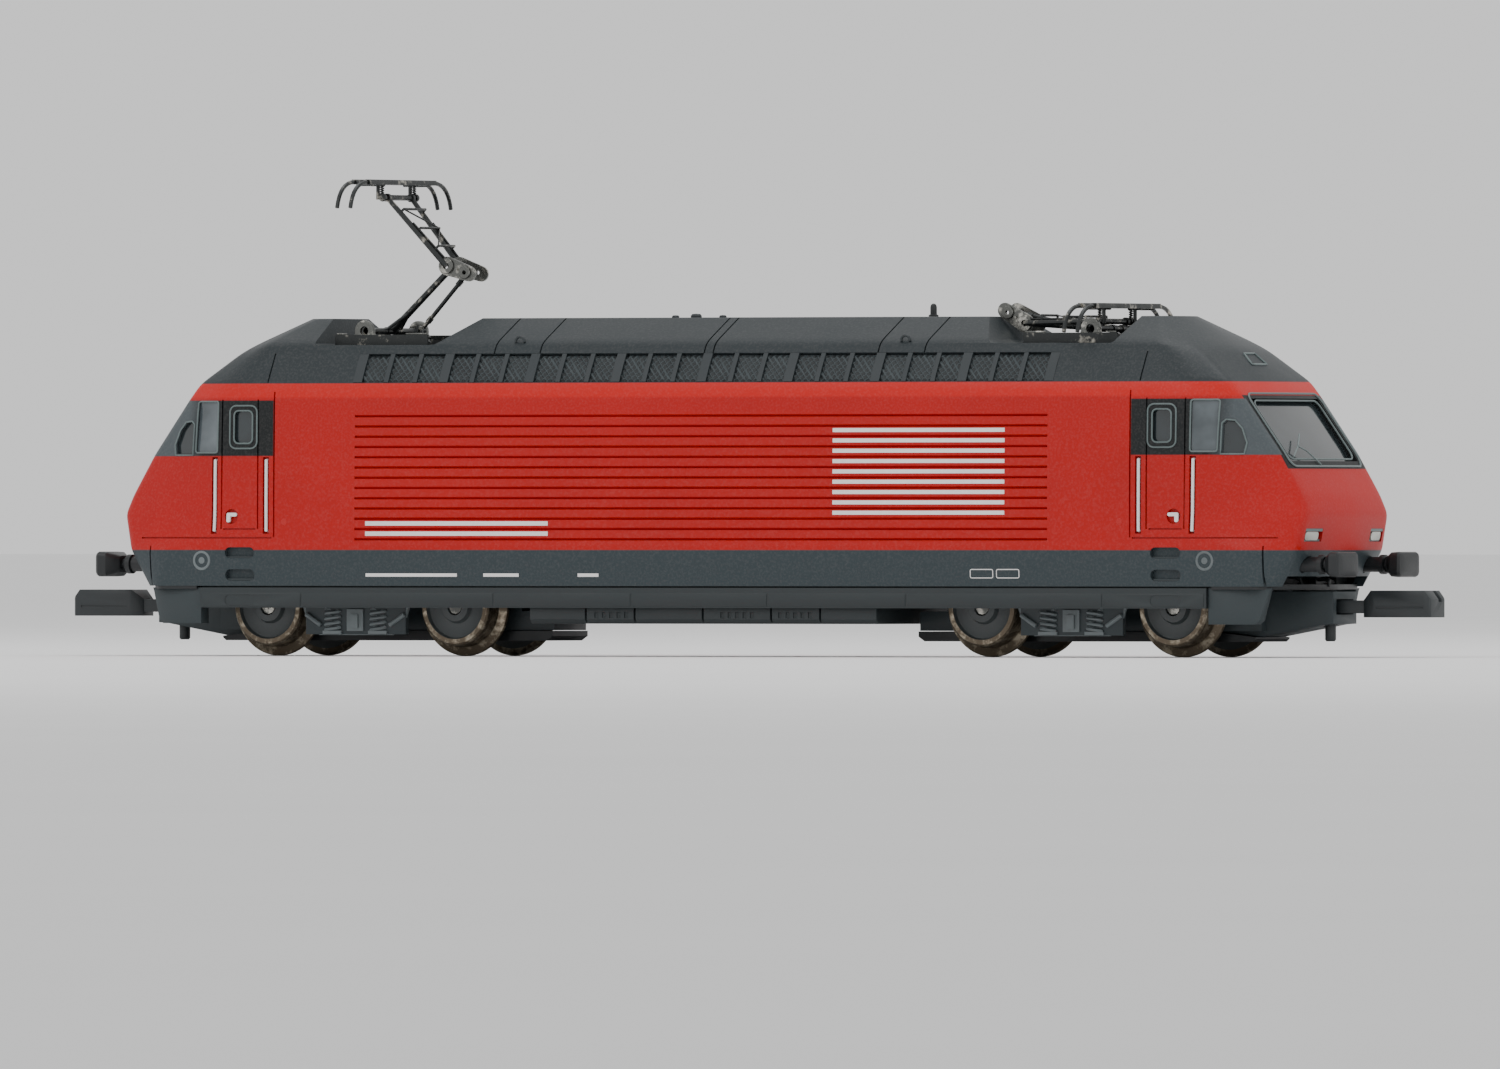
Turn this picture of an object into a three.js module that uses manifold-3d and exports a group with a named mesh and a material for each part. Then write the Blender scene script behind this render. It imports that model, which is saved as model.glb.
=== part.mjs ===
// Z gauge model of a four axle electric locomotive, as an assembly of its separate pieces.
// Millimetres, +X towards the front cab, +Z up. Heights are given above the rail top, and the
// whole group is raised by the flange depth, so that the wheel flanges stand on z = 0.
import * as THREE from 'three';
import * as BufferGeometryUtils from 'three/addons/utils/BufferGeometryUtils.js';
import Module from 'manifold-3d';

const wasm = await Module();
wasm.setup();

// ---------------------------------------------------------------- driving dimensions
const FLANGE_DEPTH = 0.6;
const BUFFER_FACE = 42.0;
const BOGIE_PIVOT = 24.15;
const WHEELBASE = 12.75;
const TREAD_RADIUS = 2.34;
const FLANGE_RADIUS = TREAD_RADIUS + FLANGE_DEPTH;
const WHEEL_BACK = 2.8;
const WHEEL_WIDTH = 1.7;
const AXLE_RADIUS = 0.42;
const SKIRT_BOTTOM = 3.6;
const ROOF_TOP = 19.6;
const WELL_FLOOR = 18.0;
const WALL = 0.5;
const NOSE_WALL = 0.8;
const CAVITY_TOP = 17.1;
const FIT = 0.04;
const SILL_BOTTOM = 2.3;
const SILL_TOP = 3.5;
const BOX_BOTTOM = 1.34;
const SWIVEL_ROOM = 6.45;

// Gear train: worm, worm wheel, idlers and axle gears
const MODULE = 0.35;
const WORM_WHEEL_TEETH = 12;
const IDLER_TEETH = 10;
const AXLE_TEETH = 8;
const ADDENDUM = 0.25;
const DEDENDUM = 0.35;
const GEAR_HALF_WIDTH = 0.5;
const SLOT_HALF_WIDTH = 0.75;
const WORM_WHEEL_HEIGHT = 5.1;
const WORM_PITCH_RADIUS = 1.0;
const WORM_HALF_LENGTH = 2.2;
const SHAFT_RADIUS = 0.4;
const BORE_GAP = 0.06;

// Pantograph, drawn at the front end with its knee towards the middle of the roof
const ARM_PIVOT = [24.5, 18.85];
const LOWER_ARM = 5.73;
const UPPER_ARM = 5.52;
const RAISED = { lower: 42.9, upper: 47.9 };
const FOLDED = { lower: 3.5, upper: 1.0 };
const TAIL = [-1.135, 0.659];
const THRUST_HEIGHT = 18.9;
const THRUST_OFFSET = 0.46;
const THRUST_RADIUS = 0.15;
const BASE_HALF_WIDTH = 3.4;
const HEAD_RISE = 0.75;
const HEAD_HALF_WIDTH = 6.4;
const STRIP_SPACING = 1.5;

const COUPLER_PIVOT = 38.7 - BOGIE_PIVOT;
const COUPLER_HEIGHT = 2.4;
const BUFFER_OFFSET = 3.97;
const BUFFER_HEIGHT = 4.9;

const radians = THREE.MathUtils.degToRad;
const wormWheelRadius = MODULE * WORM_WHEEL_TEETH / 2;
const idlerRadius = MODULE * IDLER_TEETH / 2;
const axleGearRadius = MODULE * AXLE_TEETH / 2;
const motorHeight = WORM_WHEEL_HEIGHT + wormWheelRadius + WORM_PITCH_RADIUS;

// ---------------------------------------------------------------- materials
function finish(color, roughness, metalness) {
  return () => new THREE.MeshStandardMaterial({ color, roughness, metalness });
}

const redPaint = finish(0xbe3e34, 0.45, 0.0);
const greyPaint = finish(0x4c5558, 0.5, 0.0);
const framePaint = finish(0x3f4648, 0.55, 0.2);
const bogiePlastic = finish(0x6d7577, 0.6, 0.0);
const darkPlastic = finish(0x26282a, 0.6, 0.0);
const smokedPlastic = finish(0x15181b, 0.15, 0.0);
const wheelSteel = finish(0x8f8069, 0.35, 0.9);
const brightSteel = finish(0xb9bcbe, 0.3, 1.0);
const brass = finish(0xc9a55a, 0.35, 1.0);
const gearPlastic = finish(0xd8d2c0, 0.5, 0.0);
const burnishedSteel = finish(0x6a6c6e, 0.35, 0.9);
const boardGreen = finish(0x1f5a3a, 0.6, 0.0);
const graphite = finish(0x1c1c1e, 0.7, 0.1);

// ---------------------------------------------------------------- solids
function solid(geometry) {
  const source = geometry.clone();
  source.deleteAttribute('normal');
  source.deleteAttribute('uv');
  const merged = BufferGeometryUtils.mergeVertices(source, 1e-5);
  const place = merged.attributes.position;
  const index = merged.index.array;
  const corner = [0, 1, 2].map(() => new THREE.Vector3());
  const triangles = [];
  let volume = 0;
  for (let i = 0; i < index.length; i += 3) {
    const [a, b, c] = [index[i], index[i + 1], index[i + 2]];
    if (a === b || b === c || a === c) continue;
    corner[0].fromBufferAttribute(place, a);
    corner[1].fromBufferAttribute(place, b);
    corner[2].fromBufferAttribute(place, c);
    volume += corner[0].dot(corner[1].cross(corner[2]));
    triangles.push(a, b, c);
  }
  if (volume < 0) triangles.reverse();
  return new wasm.Manifold(new wasm.Mesh({
    numProp: 3,
    vertProperties: Float32Array.from(place.array),
    triVerts: Uint32Array.from(triangles),
  }));
}

function geometryOf(manifold) {
  const mesh = manifold.getMesh();
  const geometry = new THREE.BufferGeometry();
  geometry.setAttribute('position', new THREE.BufferAttribute(mesh.vertProperties, 3));
  geometry.setIndex(new THREE.BufferAttribute(mesh.triVerts, 1));
  geometry.computeVertexNormals();
  return geometry;
}

function block(x0, x1, y0, y1, z0, z1) {
  const box = new THREE.BoxGeometry(x1 - x0, y1 - y0, z1 - z0);
  box.translate((x0 + x1) / 2, (y0 + y1) / 2, (z0 + z1) / 2);
  return solid(box);
}

const xAxis = new THREE.Vector3(1, 0, 0);
const yAxis = new THREE.Vector3(0, 1, 0);
const zAxis = new THREE.Vector3(0, 0, 1);

function extruded(points, depth) {
  const shape = new THREE.Shape(points.map(([a, b]) => new THREE.Vector2(a, b)));
  return new THREE.ExtrudeGeometry(shape, { depth, bevelEnabled: false });
}

// An outline in X and Z, drawn out along Y
function prismAlongY(points, y0, y1) {
  const basis = new THREE.Matrix4().makeBasis(xAxis, zAxis, yAxis.clone().negate());
  const geometry = extruded(points, y1 - y0).applyMatrix4(basis);
  return solid(geometry.translate(0, y1, 0));
}

// An outline in X and Y, drawn out along Z
function prismAlongZ(points, z0, z1) {
  return solid(extruded(points, z1 - z0).translate(0, 0, z0));
}

function rod(from, to, radius, sides = 8) {
  const start = new THREE.Vector3(...from);
  const end = new THREE.Vector3(...to);
  const run = end.clone().sub(start);
  const cylinder = new THREE.CylinderGeometry(radius, radius, run.length(), sides);
  const turn = new THREE.Quaternion().setFromUnitVectors(yAxis, run.clone().normalize());
  cylinder.applyQuaternion(turn);
  const middle = start.add(end).multiplyScalar(0.5);
  return solid(cylinder.translate(middle.x, middle.y, middle.z));
}

// A turned piece: points are [radius, distance along the axis]
function turned(points, axis, sides) {
  const lathe = new THREE.LatheGeometry(points.map(([r, a]) => new THREE.Vector2(r, a)), sides);
  const turn = new THREE.Quaternion().setFromUnitVectors(yAxis, axis);
  return solid(lathe.applyQuaternion(turn));
}

function join(pieces) {
  return pieces.reduce((whole, piece) => whole.add(piece));
}

function cut(whole, pieces) {
  return pieces.reduce((rest, piece) => rest.subtract(piece), whole);
}

function bothSides(make) {
  return [1, -1].map((side) => {
    const piece = make();
    return side === 1 ? piece : piece.mirror([0, 1, 0]);
  });
}

function bothEnds(make) {
  return [1, -1].map((side) => {
    const piece = make();
    return side === 1 ? piece : piece.mirror([1, 0, 0]);
  });
}

// ---------------------------------------------------------------- assembly
const locomotive = new THREE.Group();
locomotive.position.z = FLANGE_DEPTH;

function addPiece(parent, name, manifold, material, place = [0, 0, 0]) {
  const mesh = new THREE.Mesh(geometryOf(manifold), material());
  mesh.name = name;
  mesh.position.set(...place);
  parent.add(mesh);
  return mesh;
}

const ENDS = [
  { end: 'front', sign: 1, turn: 0 },
  { end: 'rear', sign: -1, turn: Math.PI },
];

// ---------------------------------------------------------------- body shell
// Plan outline of the body at one height: half width, where the cab starts to taper,
// the corner of the cab, and the middle of its front
const BODY_LEVELS = [
  { z: 3.60, side: 6.70, taper: 36.6, corner: [38.0, 5.75], nose: 38.9 },
  { z: 5.75, side: 6.82, taper: 36.0, corner: [39.3, 5.81], nose: 39.7 },
  { z: 6.50, side: 6.82, taper: 33.5, corner: [39.45, 5.77], nose: 39.8 },
  { z: 7.90, side: 6.82, taper: 31.5, corner: [39.8, 5.55], nose: 40.15 },
  { z: 9.00, side: 6.82, taper: 31.5, corner: [39.4, 5.34], nose: 39.75 },
  { z: 11.45, side: 6.78, taper: 31.5, corner: [37.95, 5.33], nose: 38.2 },
  { z: 14.80, side: 6.70, taper: 31.5, corner: [35.45, 5.45], nose: 35.75 },
  { z: 15.70, side: 6.55, taper: 31.0, corner: [34.75, 5.4], nose: 35.05 },
  { z: 17.55, side: 5.50, taper: 30.2, corner: [32.35, 4.5], nose: 33.1 },
  { z: 18.10, side: 5.20, taper: 29.8, corner: [31.4, 4.1], nose: 32.2 },
  { z: 19.50, side: 2.40, taper: 28.4, corner: [29.2, 1.8], nose: 29.5 },
  { z: ROOF_TOP, side: 2.20, taper: 28.2, corner: [29.0, 1.7], nose: 29.3 },
];

function planOutline(level, inset, noseInset) {
  const side = level.side - inset;
  const [cornerX, cornerY] = [level.corner[0] - noseInset, level.corner[1] - inset];
  const noseX = level.nose - noseInset;
  const quarter = [0, 0.4, 0.75, 1].map((t) => {
    return [noseX - (noseX - cornerX) * t * t, cornerY * t];
  });
  quarter.push([(cornerX + level.taper) / 2, (cornerY + side) / 2 + 0.1]);
  quarter.push([level.taper, side]);
  const mirrored = quarter.map(([x, y]) => [-x, y]).reverse();
  const half = quarter.concat(mirrored);
  const back = half.slice(1, -1).map(([x, y]) => [x, -y]).reverse();
  return half.concat(back);
}

function loft(levels, inset, noseInset) {
  const rings = levels.map((level) => planOutline(level, inset, noseInset));
  const count = rings[0].length;
  const positions = rings.flatMap((ring, i) => ring.flatMap(([x, y]) => [x, y, levels[i].z]));
  const triangles = [];
  for (let ring = 0; ring + 1 < rings.length; ring += 1) {
    for (let i = 0; i < count; i += 1) {
      const next = (i + 1) % count;
      const [a, b] = [ring * count + i, ring * count + next];
      triangles.push(a, b, b + count, a, b + count, a + count);
    }
  }
  const top = (rings.length - 1) * count;
  for (let i = 1; i + 1 < count; i += 1) {
    triangles.push(0, i + 1, i, top, top + i, top + i + 1);
  }
  const geometry = new THREE.BufferGeometry();
  geometry.setAttribute('position', new THREE.Float32BufferAttribute(positions, 3));
  geometry.setIndex(triangles);
  return solid(geometry);
}

// The room inside the shell, which stays open at the bottom
function cavityLevels() {
  const walls = BODY_LEVELS.filter((level) => level.z < 17);
  const floor = { ...walls[0], z: SKIRT_BOTTOM - 0.4 };
  const ceiling = { z: CAVITY_TOP, side: 5.4, taper: 30.4, corner: [32.4, 4.6], nose: 33.0 };
  return [floor, ...walls, ceiling];
}

function makeShell() {
  const hull = loft(BODY_LEVELS, 0, 0);
  const cavity = loft(cavityLevels(), WALL, NOSE_WALL);
  const wellSide = [[16.1, ROOF_TOP + 1], [18.7, WELL_FLOOR], [26.9, WELL_FLOOR], [27.5, ROOF_TOP + 1]];
  const cuts = [
    ...bothEnds(() => prismAlongY(wellSide, -7, 7)),
    ...bothEnds(() => block(33, 41, -4.3, 4.3, 11.0, 14.7)),
    ...bothEnds(() => block(37, 41, -5.2, 5.2, 3, 4.2)),
  ];
  const sideWindows = [[30.3, 31.6, 12.1, 14.1], [32.8, 34.4, 11.6, 14.6], [34.7, 36.0, 11.5, 13.4]];
  sideWindows.forEach(([x0, x1, z0, z1]) => {
    cuts.push(...bothEnds(() => block(x0, x1, -7.5, 7.5, z0, z1)));
  });
  [-1, 1].forEach((side) => {
    const y = side * 4.05;
    cuts.push(...bothEnds(() => block(39.3, 41, y - 0.95, y + 0.95, 6.25, 7.03)));
    const hole = side * BUFFER_OFFSET;
    cuts.push(...bothEnds(() => rod([37, hole, BUFFER_HEIGHT], [41, hole, BUFFER_HEIGHT], 0.52)));
  });
  return cut(hull.subtract(cavity), cuts);
}

addPiece(locomotive, 'body_shell', makeShell(), redPaint);

// Clear insert behind the cab windows
function makeGlazing() {
  const outer = loft(cavityLevels(), WALL + 0.05, NOSE_WALL + 0.05);
  const inner = loft(cavityLevels(), WALL + 0.5, NOSE_WALL + 0.6);
  const bay = block(28.6, 41, -7, 7, 10.4, 15.4);
  const roofless = block(28, 41, -7, 7, 10, 14.95);
  return outer.intersect(bay).subtract(inner.intersect(roofless));
}

ENDS.forEach(({ end, turn }) => {
  const cab = new THREE.Group();
  cab.rotation.z = turn;
  locomotive.add(cab);
  addPiece(cab, `cab_glazing_${end}`, makeGlazing(), smokedPlastic);
});

// Roof aerial
const aerialProfile = [[0, 0], [0.26, 0], [0.26, 0.6], [0.16, 0.76], [0, 0.8]];
addPiece(locomotive, 'roof_aerial', turned(aerialProfile, zAxis, 12), darkPlastic,
  [12.2, 0, ROOF_TOP + 0.02]);

// ---------------------------------------------------------------- chassis
const POCKET_HALF_LENGTH = 7.6;
const CENTRE_HALF_LENGTH = 13.2;
const BEARING_PLACES = [20.5, 27.8];
const POST_PLACE = 11.6;
const BOARD_HEIGHT = 12.6;
const PIVOT_HOLE = 3.0;

function makeChassis() {
  const centre = CENTRE_HALF_LENGTH;
  const parts = [
    block(-centre, centre, -5.6, 5.6, SILL_TOP - 0.1, 9.6),
    block(-centre, centre, -6.75, 6.75, SILL_BOTTOM, SILL_TOP),
    block(-36.0, 36.0, -5.0, 5.0, 5.8, 6.6),
    ...bothSides(() => block(-33.9, 33.9, SWIVEL_ROOM, 6.75, SILL_BOTTOM, SILL_TOP)),
    ...bothEnds(() => block(POST_PLACE - 1.1, POST_PLACE + 1.1, -2, 2, 9.5, BOARD_HEIGHT - 0.03)),
  ];
  BEARING_PLACES.forEach((x) => {
    parts.push(...bothEnds(() => block(x - 0.6, x + 0.6, -1.6, 1.6, 6.5, motorHeight + 1.4)));
  });
  const cuts = [
    block(-POCKET_HALF_LENGTH, POCKET_HALF_LENGTH, -3.9, 3.9, 4.2, 12),
    rod([-30, 0, motorHeight], [30, 0, motorHeight], 0.8, 12),
    ...bothEnds(() => rod([BOGIE_PIVOT, 0, 5], [BOGIE_PIVOT, 0, 7], PIVOT_HOLE, 16)),
    rod([POST_PLACE, 0, 10], [POST_PLACE, 0, 13], 0.46),
  ];
  return cut(join(parts), cuts);
}

addPiece(locomotive, 'chassis_frame', makeChassis(), framePaint);

// Transformer box that hangs between the bogies
const boxSide = [[-11.2, BOX_BOTTOM], [11.2, BOX_BOTTOM], [11.7, 2.26], [-11.7, 2.26]];
addPiece(locomotive, 'equipment_box', prismAlongY(boxSide, -6.3, 6.3), framePaint);

// Front skirts: two cheeks under the shell, joined above the coupler
function makeSkirt() {
  const cheekPlan = [[33.95, 6.0], [33.95, 6.55], [36.2, 6.3], [37.7, 5.75], [37.7, 5.4], [36.4, 5.55]];
  const slope = [[33, 1.0], [33, 4], [38.2, 4], [37.7, 3.5], [37.0, BOX_BOTTOM], [36.8, 1.0]];
  const cheek = () => prismAlongZ(cheekPlan, BOX_BOTTOM, SILL_TOP + 0.02)
    .intersect(prismAlongY(slope, 5, 7));
  const riser = () => block(34.6, 36.4, 5.1, 5.75, 3.2, 4.7)
    .add(block(34.6, 36.2, 5.2, 6.1, 3.2, SILL_TOP));
  const bridge = block(34.6, 36.4, -5.3, 5.3, 4.4, 4.7);
  return join([bridge, ...bothSides(cheek), ...bothSides(riser)]);
}

// Buffer with its shank, seen from the front as a wide rounded plate
function makeBuffer() {
  const deep = 1.5;
  const [halfWide, halfHigh, bulge] = [1.35, 0.75, 0.18];
  const face = BUFFER_FACE;
  const plan = [[face - deep, -0.6], [face - 0.7, -halfWide], [face - bulge, -halfWide], [face, -0.5],
    [face, 0.5], [face - bulge, halfWide], [face - 0.7, halfWide], [face - deep, 0.6]];
  const head = prismAlongZ(plan, -halfHigh, halfHigh);
  return head.add(rod([38.5, 0, 0], [face - 1, 0, 0], 0.45));
}

ENDS.forEach(({ end, turn }) => {
  const nose = new THREE.Group();
  nose.rotation.z = turn;
  locomotive.add(nose);
  addPiece(nose, `front_skirt_${end}`, makeSkirt(), greyPaint);
  addPiece(nose, `buffer_${end}_1`, makeBuffer(), darkPlastic, [0, BUFFER_OFFSET, BUFFER_HEIGHT]);
  addPiece(nose, `buffer_${end}_2`, makeBuffer(), darkPlastic, [0, -BUFFER_OFFSET, BUFFER_HEIGHT]);
});

// ---------------------------------------------------------------- circuit board
function makeBoard() {
  const board = join([
    block(-19, 19, -4.5, 4.5, BOARD_HEIGHT, BOARD_HEIGHT + 0.5),
    block(-6.5, -1.5, -2.4, 2.4, BOARD_HEIGHT + 0.4, BOARD_HEIGHT + 1.4),
    block(1.5, 4.5, -1.6, 1.6, BOARD_HEIGHT + 0.4, BOARD_HEIGHT + 1.2),
    block(-15, -12.5, -3.4, -1.2, BOARD_HEIGHT + 0.4, BOARD_HEIGHT + 1.1),
  ]);
  return board.subtract(rod([POST_PLACE, 0, 12], [POST_PLACE, 0, 14], 0.46));
}

addPiece(locomotive, 'circuit_board', makeBoard(), boardGreen);
const screwProfile = [[0, -2.0], [0.4, -2.0], [0.4, 0.03], [0.9, 0.03], [0.9, 0.35], [0.6, 0.6], [0, 0.6]];
addPiece(locomotive, 'board_screw', turned(screwProfile, zAxis, 12), brass,
  [POST_PLACE, 0, BOARD_HEIGHT + 0.5]);

// ---------------------------------------------------------------- motor
const CAN_RADIUS = 3.7;
const CAN_HALF_LENGTH = 7.2;
const canProfile = [
  [0.7, -CAN_HALF_LENGTH], [CAN_RADIUS, -CAN_HALF_LENGTH], [CAN_RADIUS, CAN_HALF_LENGTH],
  [0.7, CAN_HALF_LENGTH], [0.7, CAN_HALF_LENGTH - 0.5], [3.1, CAN_HALF_LENGTH - 0.5],
  [3.1, 0.5 - CAN_HALF_LENGTH], [0.7, 0.5 - CAN_HALF_LENGTH], [0.7, -CAN_HALF_LENGTH],
];
addPiece(locomotive, 'motor_can', turned(canProfile, xAxis, 20), brightSteel, [0, 0, motorHeight]);

// Armature with its commutator and the through shaft that carries both worms
const SHAFT_HALF_LENGTH = 28.7;
const armatureProfile = [
  [0, -SHAFT_HALF_LENGTH], [SHAFT_RADIUS, -SHAFT_HALF_LENGTH], [SHAFT_RADIUS, -4.2], [2.8, -4.2],
  [2.8, 2.6], [1.2, 2.6], [1.2, 5.6], [SHAFT_RADIUS, 5.6], [SHAFT_RADIUS, SHAFT_HALF_LENGTH],
  [0, SHAFT_HALF_LENGTH],
];
addPiece(locomotive, 'armature', turned(armatureProfile, xAxis, 16), burnishedSteel,
  [0, 0, motorHeight]);

[1, -1].forEach((side, i) => {
  const [inner, outer] = [1.26, 2.95];
  const brush = block(3.4, 4.8, inner, outer, -0.5, 0.5);
  const placed = side === 1 ? brush : brush.mirror([0, 1, 0]);
  addPiece(locomotive, `carbon_brush_${i + 1}`, placed, graphite, [0, 0, motorHeight]);
});

// Worm: a left handed thread cut in a short cylinder
function makeWorm() {
  const pitch = Math.PI * MODULE;
  const [root, tip] = [0.62, 1.22];
  const stepsPerTurn = 5;
  const steps = Math.round(2 * WORM_HALF_LENGTH / pitch * stepsPerTurn);
  const length = steps * pitch / stepsPerTurn;
  const cylinder = new THREE.CylinderGeometry(1, 1, length, 8, steps);
  const place = cylinder.attributes.position;
  for (let i = 0; i < place.count; i += 1) {
    const [x, y, z] = [place.getX(i), place.getY(i), place.getZ(i)];
    if (Math.hypot(x, z) < 0.5) continue;
    const turns = y / pitch - Math.atan2(z, x) / (2 * Math.PI);
    const offset = Math.abs(turns - Math.round(turns));
    const height = offset > 0.38 ? 1 : THREE.MathUtils.clamp((offset - 0.25) / 0.13, 0, 1);
    const radius = root + (tip - root) * height;
    place.setXYZ(i, x * radius, y, z * radius);
  }
  // The cylinder is turned from its own Y axis to lie along the shaft
  cylinder.rotateZ(-Math.PI / 2);
  const worm = solid(cylinder);
  return worm.subtract(rod([-4, 0, 0], [4, 0, 0], SHAFT_RADIUS + BORE_GAP, 12));
}

const bushProfile = [[0.46, -0.6], [0.74, -0.6], [0.74, 0.6], [0.46, 0.6], [0.46, -0.6]];
ENDS.forEach(({ end, sign }) => {
  const worm = addPiece(locomotive, `worm_${end}`, makeWorm(), brass);
  worm.position.set(sign * BOGIE_PIVOT, 0, motorHeight);
  worm.rotation.x = Math.PI / 2;
  addPiece(locomotive, `shaft_bearing_${end}`, turned(bushProfile, xAxis, 12), brass,
    [sign * BEARING_PLACES[1], 0, motorHeight]);
});

// ---------------------------------------------------------------- gears
function gearOutline(teeth, phase) {
  const pitchRadius = MODULE * teeth / 2;
  const [root, tip] = [pitchRadius - DEDENDUM, pitchRadius + ADDENDUM];
  const step = 2 * Math.PI / teeth;
  const points = [];
  for (let tooth = 0; tooth < teeth; tooth += 1) {
    const middle = phase + tooth * step;
    [[-0.24, root], [-0.11, tip], [0.11, tip], [0.24, root]].forEach(([share, radius]) => {
      const angle = middle + share * step;
      points.push([radius * Math.cos(angle), radius * Math.sin(angle)]);
    });
  }
  return points;
}

function makeGear(teeth, phase, halfPin, pinRadius) {
  const gear = prismAlongY(gearOutline(teeth, phase), -GEAR_HALF_WIDTH, GEAR_HALF_WIDTH);
  return gear.add(rod([0, -halfPin, 0], [0, halfPin, 0], pinRadius, 10));
}

// Where two circles around a and b meet, on the lower side
function meetingPoint(a, radiusA, b, radiusB) {
  const [dx, dz] = [b[0] - a[0], b[1] - a[1]];
  const distance = Math.hypot(dx, dz);
  const along = (radiusA ** 2 - radiusB ** 2 + distance ** 2) / (2 * distance);
  const across = Math.sqrt(radiusA ** 2 - along ** 2);
  const [ux, uz] = [dx / distance, dz / distance];
  const down = Math.sign(dx);
  return [a[0] + ux * along + down * uz * across, a[1] + uz * along - down * ux * across];
}

// Turns a gear so that its teeth lie between those of the one that drives it
function meshedPhase(driver, driverTeeth, driverPhase, driven, drivenTeeth) {
  const line = Math.atan2(driven[1] - driver[1], driven[0] - driver[0]);
  return line + Math.PI - (Math.PI - driverTeeth * (line - driverPhase)) / drivenTeeth;
}

// ---------------------------------------------------------------- bogies
const axlePlaces = [WHEELBASE / 2, -WHEELBASE / 2];
const wormWheelPlace = [0, WORM_WHEEL_HEIGHT];
const idlerPlaces = axlePlaces.map((x) => meetingPoint(wormWheelPlace,
  wormWheelRadius + idlerRadius, [x, TREAD_RADIUS], idlerRadius + axleGearRadius));

function makeBogieFrame() {
  const arm = [[8, 0.95], [10.8, 0.63], [14.9, 1.36], [15.5, 1.4], [15.5, 3.3], [11.6, 3.3], [8, 3.3]];
  const parts = [
    block(-9.6, 11, -2, 2, 0.95, 4.2),
    block(-11.8, -9.5, -2, 2, 0.95, 2.1),
    block(-5.6, 5.6, -2, 2, 4.1, 5.4),
    rod([0, 0, 5.3], [0, 0, 6.4], PIVOT_HOLE - 0.15, 16),
    prismAlongY(arm, -1.5, 1.5),
    ...bothSides(() => block(-7.4, 7.4, 4.75, 5.2, 2.5, 3.3)),
    ...bothSides(() => block(-3.5, 3.5, 4.75, 5.25, 0.62, 2.6)),
    ...bothSides(() => block(-2.6, 2.6, 1.9, 4.85, 2.6, 4.2)),
  ];
  axlePlaces.forEach((x) => {
    parts.push(...bothSides(() => block(x - 1, x + 1, 4.75, 5.2, 1.4, 2.6)));
  });
  const slot = SLOT_HALF_WIDTH;
  const cuts = [
    block(-8.6, 8.6, -slot, slot, 0.5, 4.2 - 0.1),
    block(-5.5, 5.5, -slot, slot, 3, 5.3),
    block(-2.6, 2.6, -slot, slot, 3, 7),
    block(11.5, 16, -1.1, 1.1, 1.95, 2.85),
    rod([COUPLER_PIVOT, 0, 0], [COUPLER_PIVOT, 0, 2.2], 0.45, 10),
  ];
  axlePlaces.forEach((x) => {
    cuts.push(rod([x, -2.5, TREAD_RADIUS], [x, 2.5, TREAD_RADIUS], AXLE_RADIUS + BORE_GAP, 12));
  });
  [wormWheelPlace, ...idlerPlaces].forEach(([x, z]) => {
    cuts.push(rod([x, -1.95, z], [x, 1.95, z], 0.3 + BORE_GAP, 10));
  });
  return cut(join(parts), cuts);
}

function makeBogieCover() {
  const under = [[-11.8, 0.6], [-11.4, 0.33], [10.5, 0.33], [10.7, 0.5], [10.7, 0.6]];
  const side = [...under, [7.9, 0.91], [-11.8, 0.91]];
  const recess = block(-8.6, 8.6, -SLOT_HALF_WIDTH, SLOT_HALF_WIDTH, 0.6, 1.2);
  return prismAlongY(side, -2.2, 2.2).subtract(recess);
}

// Wheel with flange, tread, rim and hub, its back on the plane y = 0
const wheelProfile = [
  [AXLE_RADIUS + FIT, 0], [FLANGE_RADIUS, 0], [FLANGE_RADIUS, 0.22], [TREAD_RADIUS, 0.5],
  [TREAD_RADIUS, WHEEL_WIDTH], [1.86, WHEEL_WIDTH], [1.86, WHEEL_WIDTH - 0.3],
  [AXLE_RADIUS + FIT, WHEEL_WIDTH - 0.3], [AXLE_RADIUS + FIT, 0],
];

function makeWheel(side) {
  const wheel = turned(wheelProfile, yAxis, 20);
  return (side === 1 ? wheel : wheel.mirror([0, 1, 0])).translate([0, side * WHEEL_BACK, 0]);
}

function makeCoupler() {
  const headPlan = [[17.25, -0.55], [17.7, -1], [21.6, -1], [21.65, -0.95], [21.65, 0.95], [21.6, 1],
    [17.7, 1], [17.25, 0.55]];
  const headSide = [[17, 1.76], [21.65, 1.76], [21.65, 2.9], [21.2, 3.37], [17.7, 3.37], [17, 2.8]];
  const head = prismAlongZ(headPlan, 1.7, 3.4).intersect(prismAlongY(headSide, -2, 2));
  const throat = block(18.6, 20.9, -0.45, 0.45, 1.5, 3.6);
  return join([
    head.subtract(throat),
    block(13.3, 17.4, -0.6, 0.6, 2.0, 2.8),
    rod([COUPLER_PIVOT, 0, 0.36], [COUPLER_PIVOT, 0, 2.1], 0.33, 10),
  ]).translate([-COUPLER_PIVOT, 0, 0]);
}

// Centring spring behind the coupler tail
class SpringCurve extends THREE.Curve {
  getPoint(t, target = new THREE.Vector3()) {
    const angle = 2 * Math.PI * 4 * t;
    return target.set(11.75 + 1.3 * t, 0.3 * Math.cos(angle), COUPLER_HEIGHT + 0.3 * Math.sin(angle));
  }
}

function makeCouplerSpring() {
  const section = new THREE.Shape().absarc(0, 0, 0.06, 0, 2 * Math.PI);
  const options = { steps: 28, extrudePath: new SpringCurve(), curveSegments: 2, bevelEnabled: false };
  return solid(new THREE.ExtrudeGeometry(section, options));
}

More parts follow.
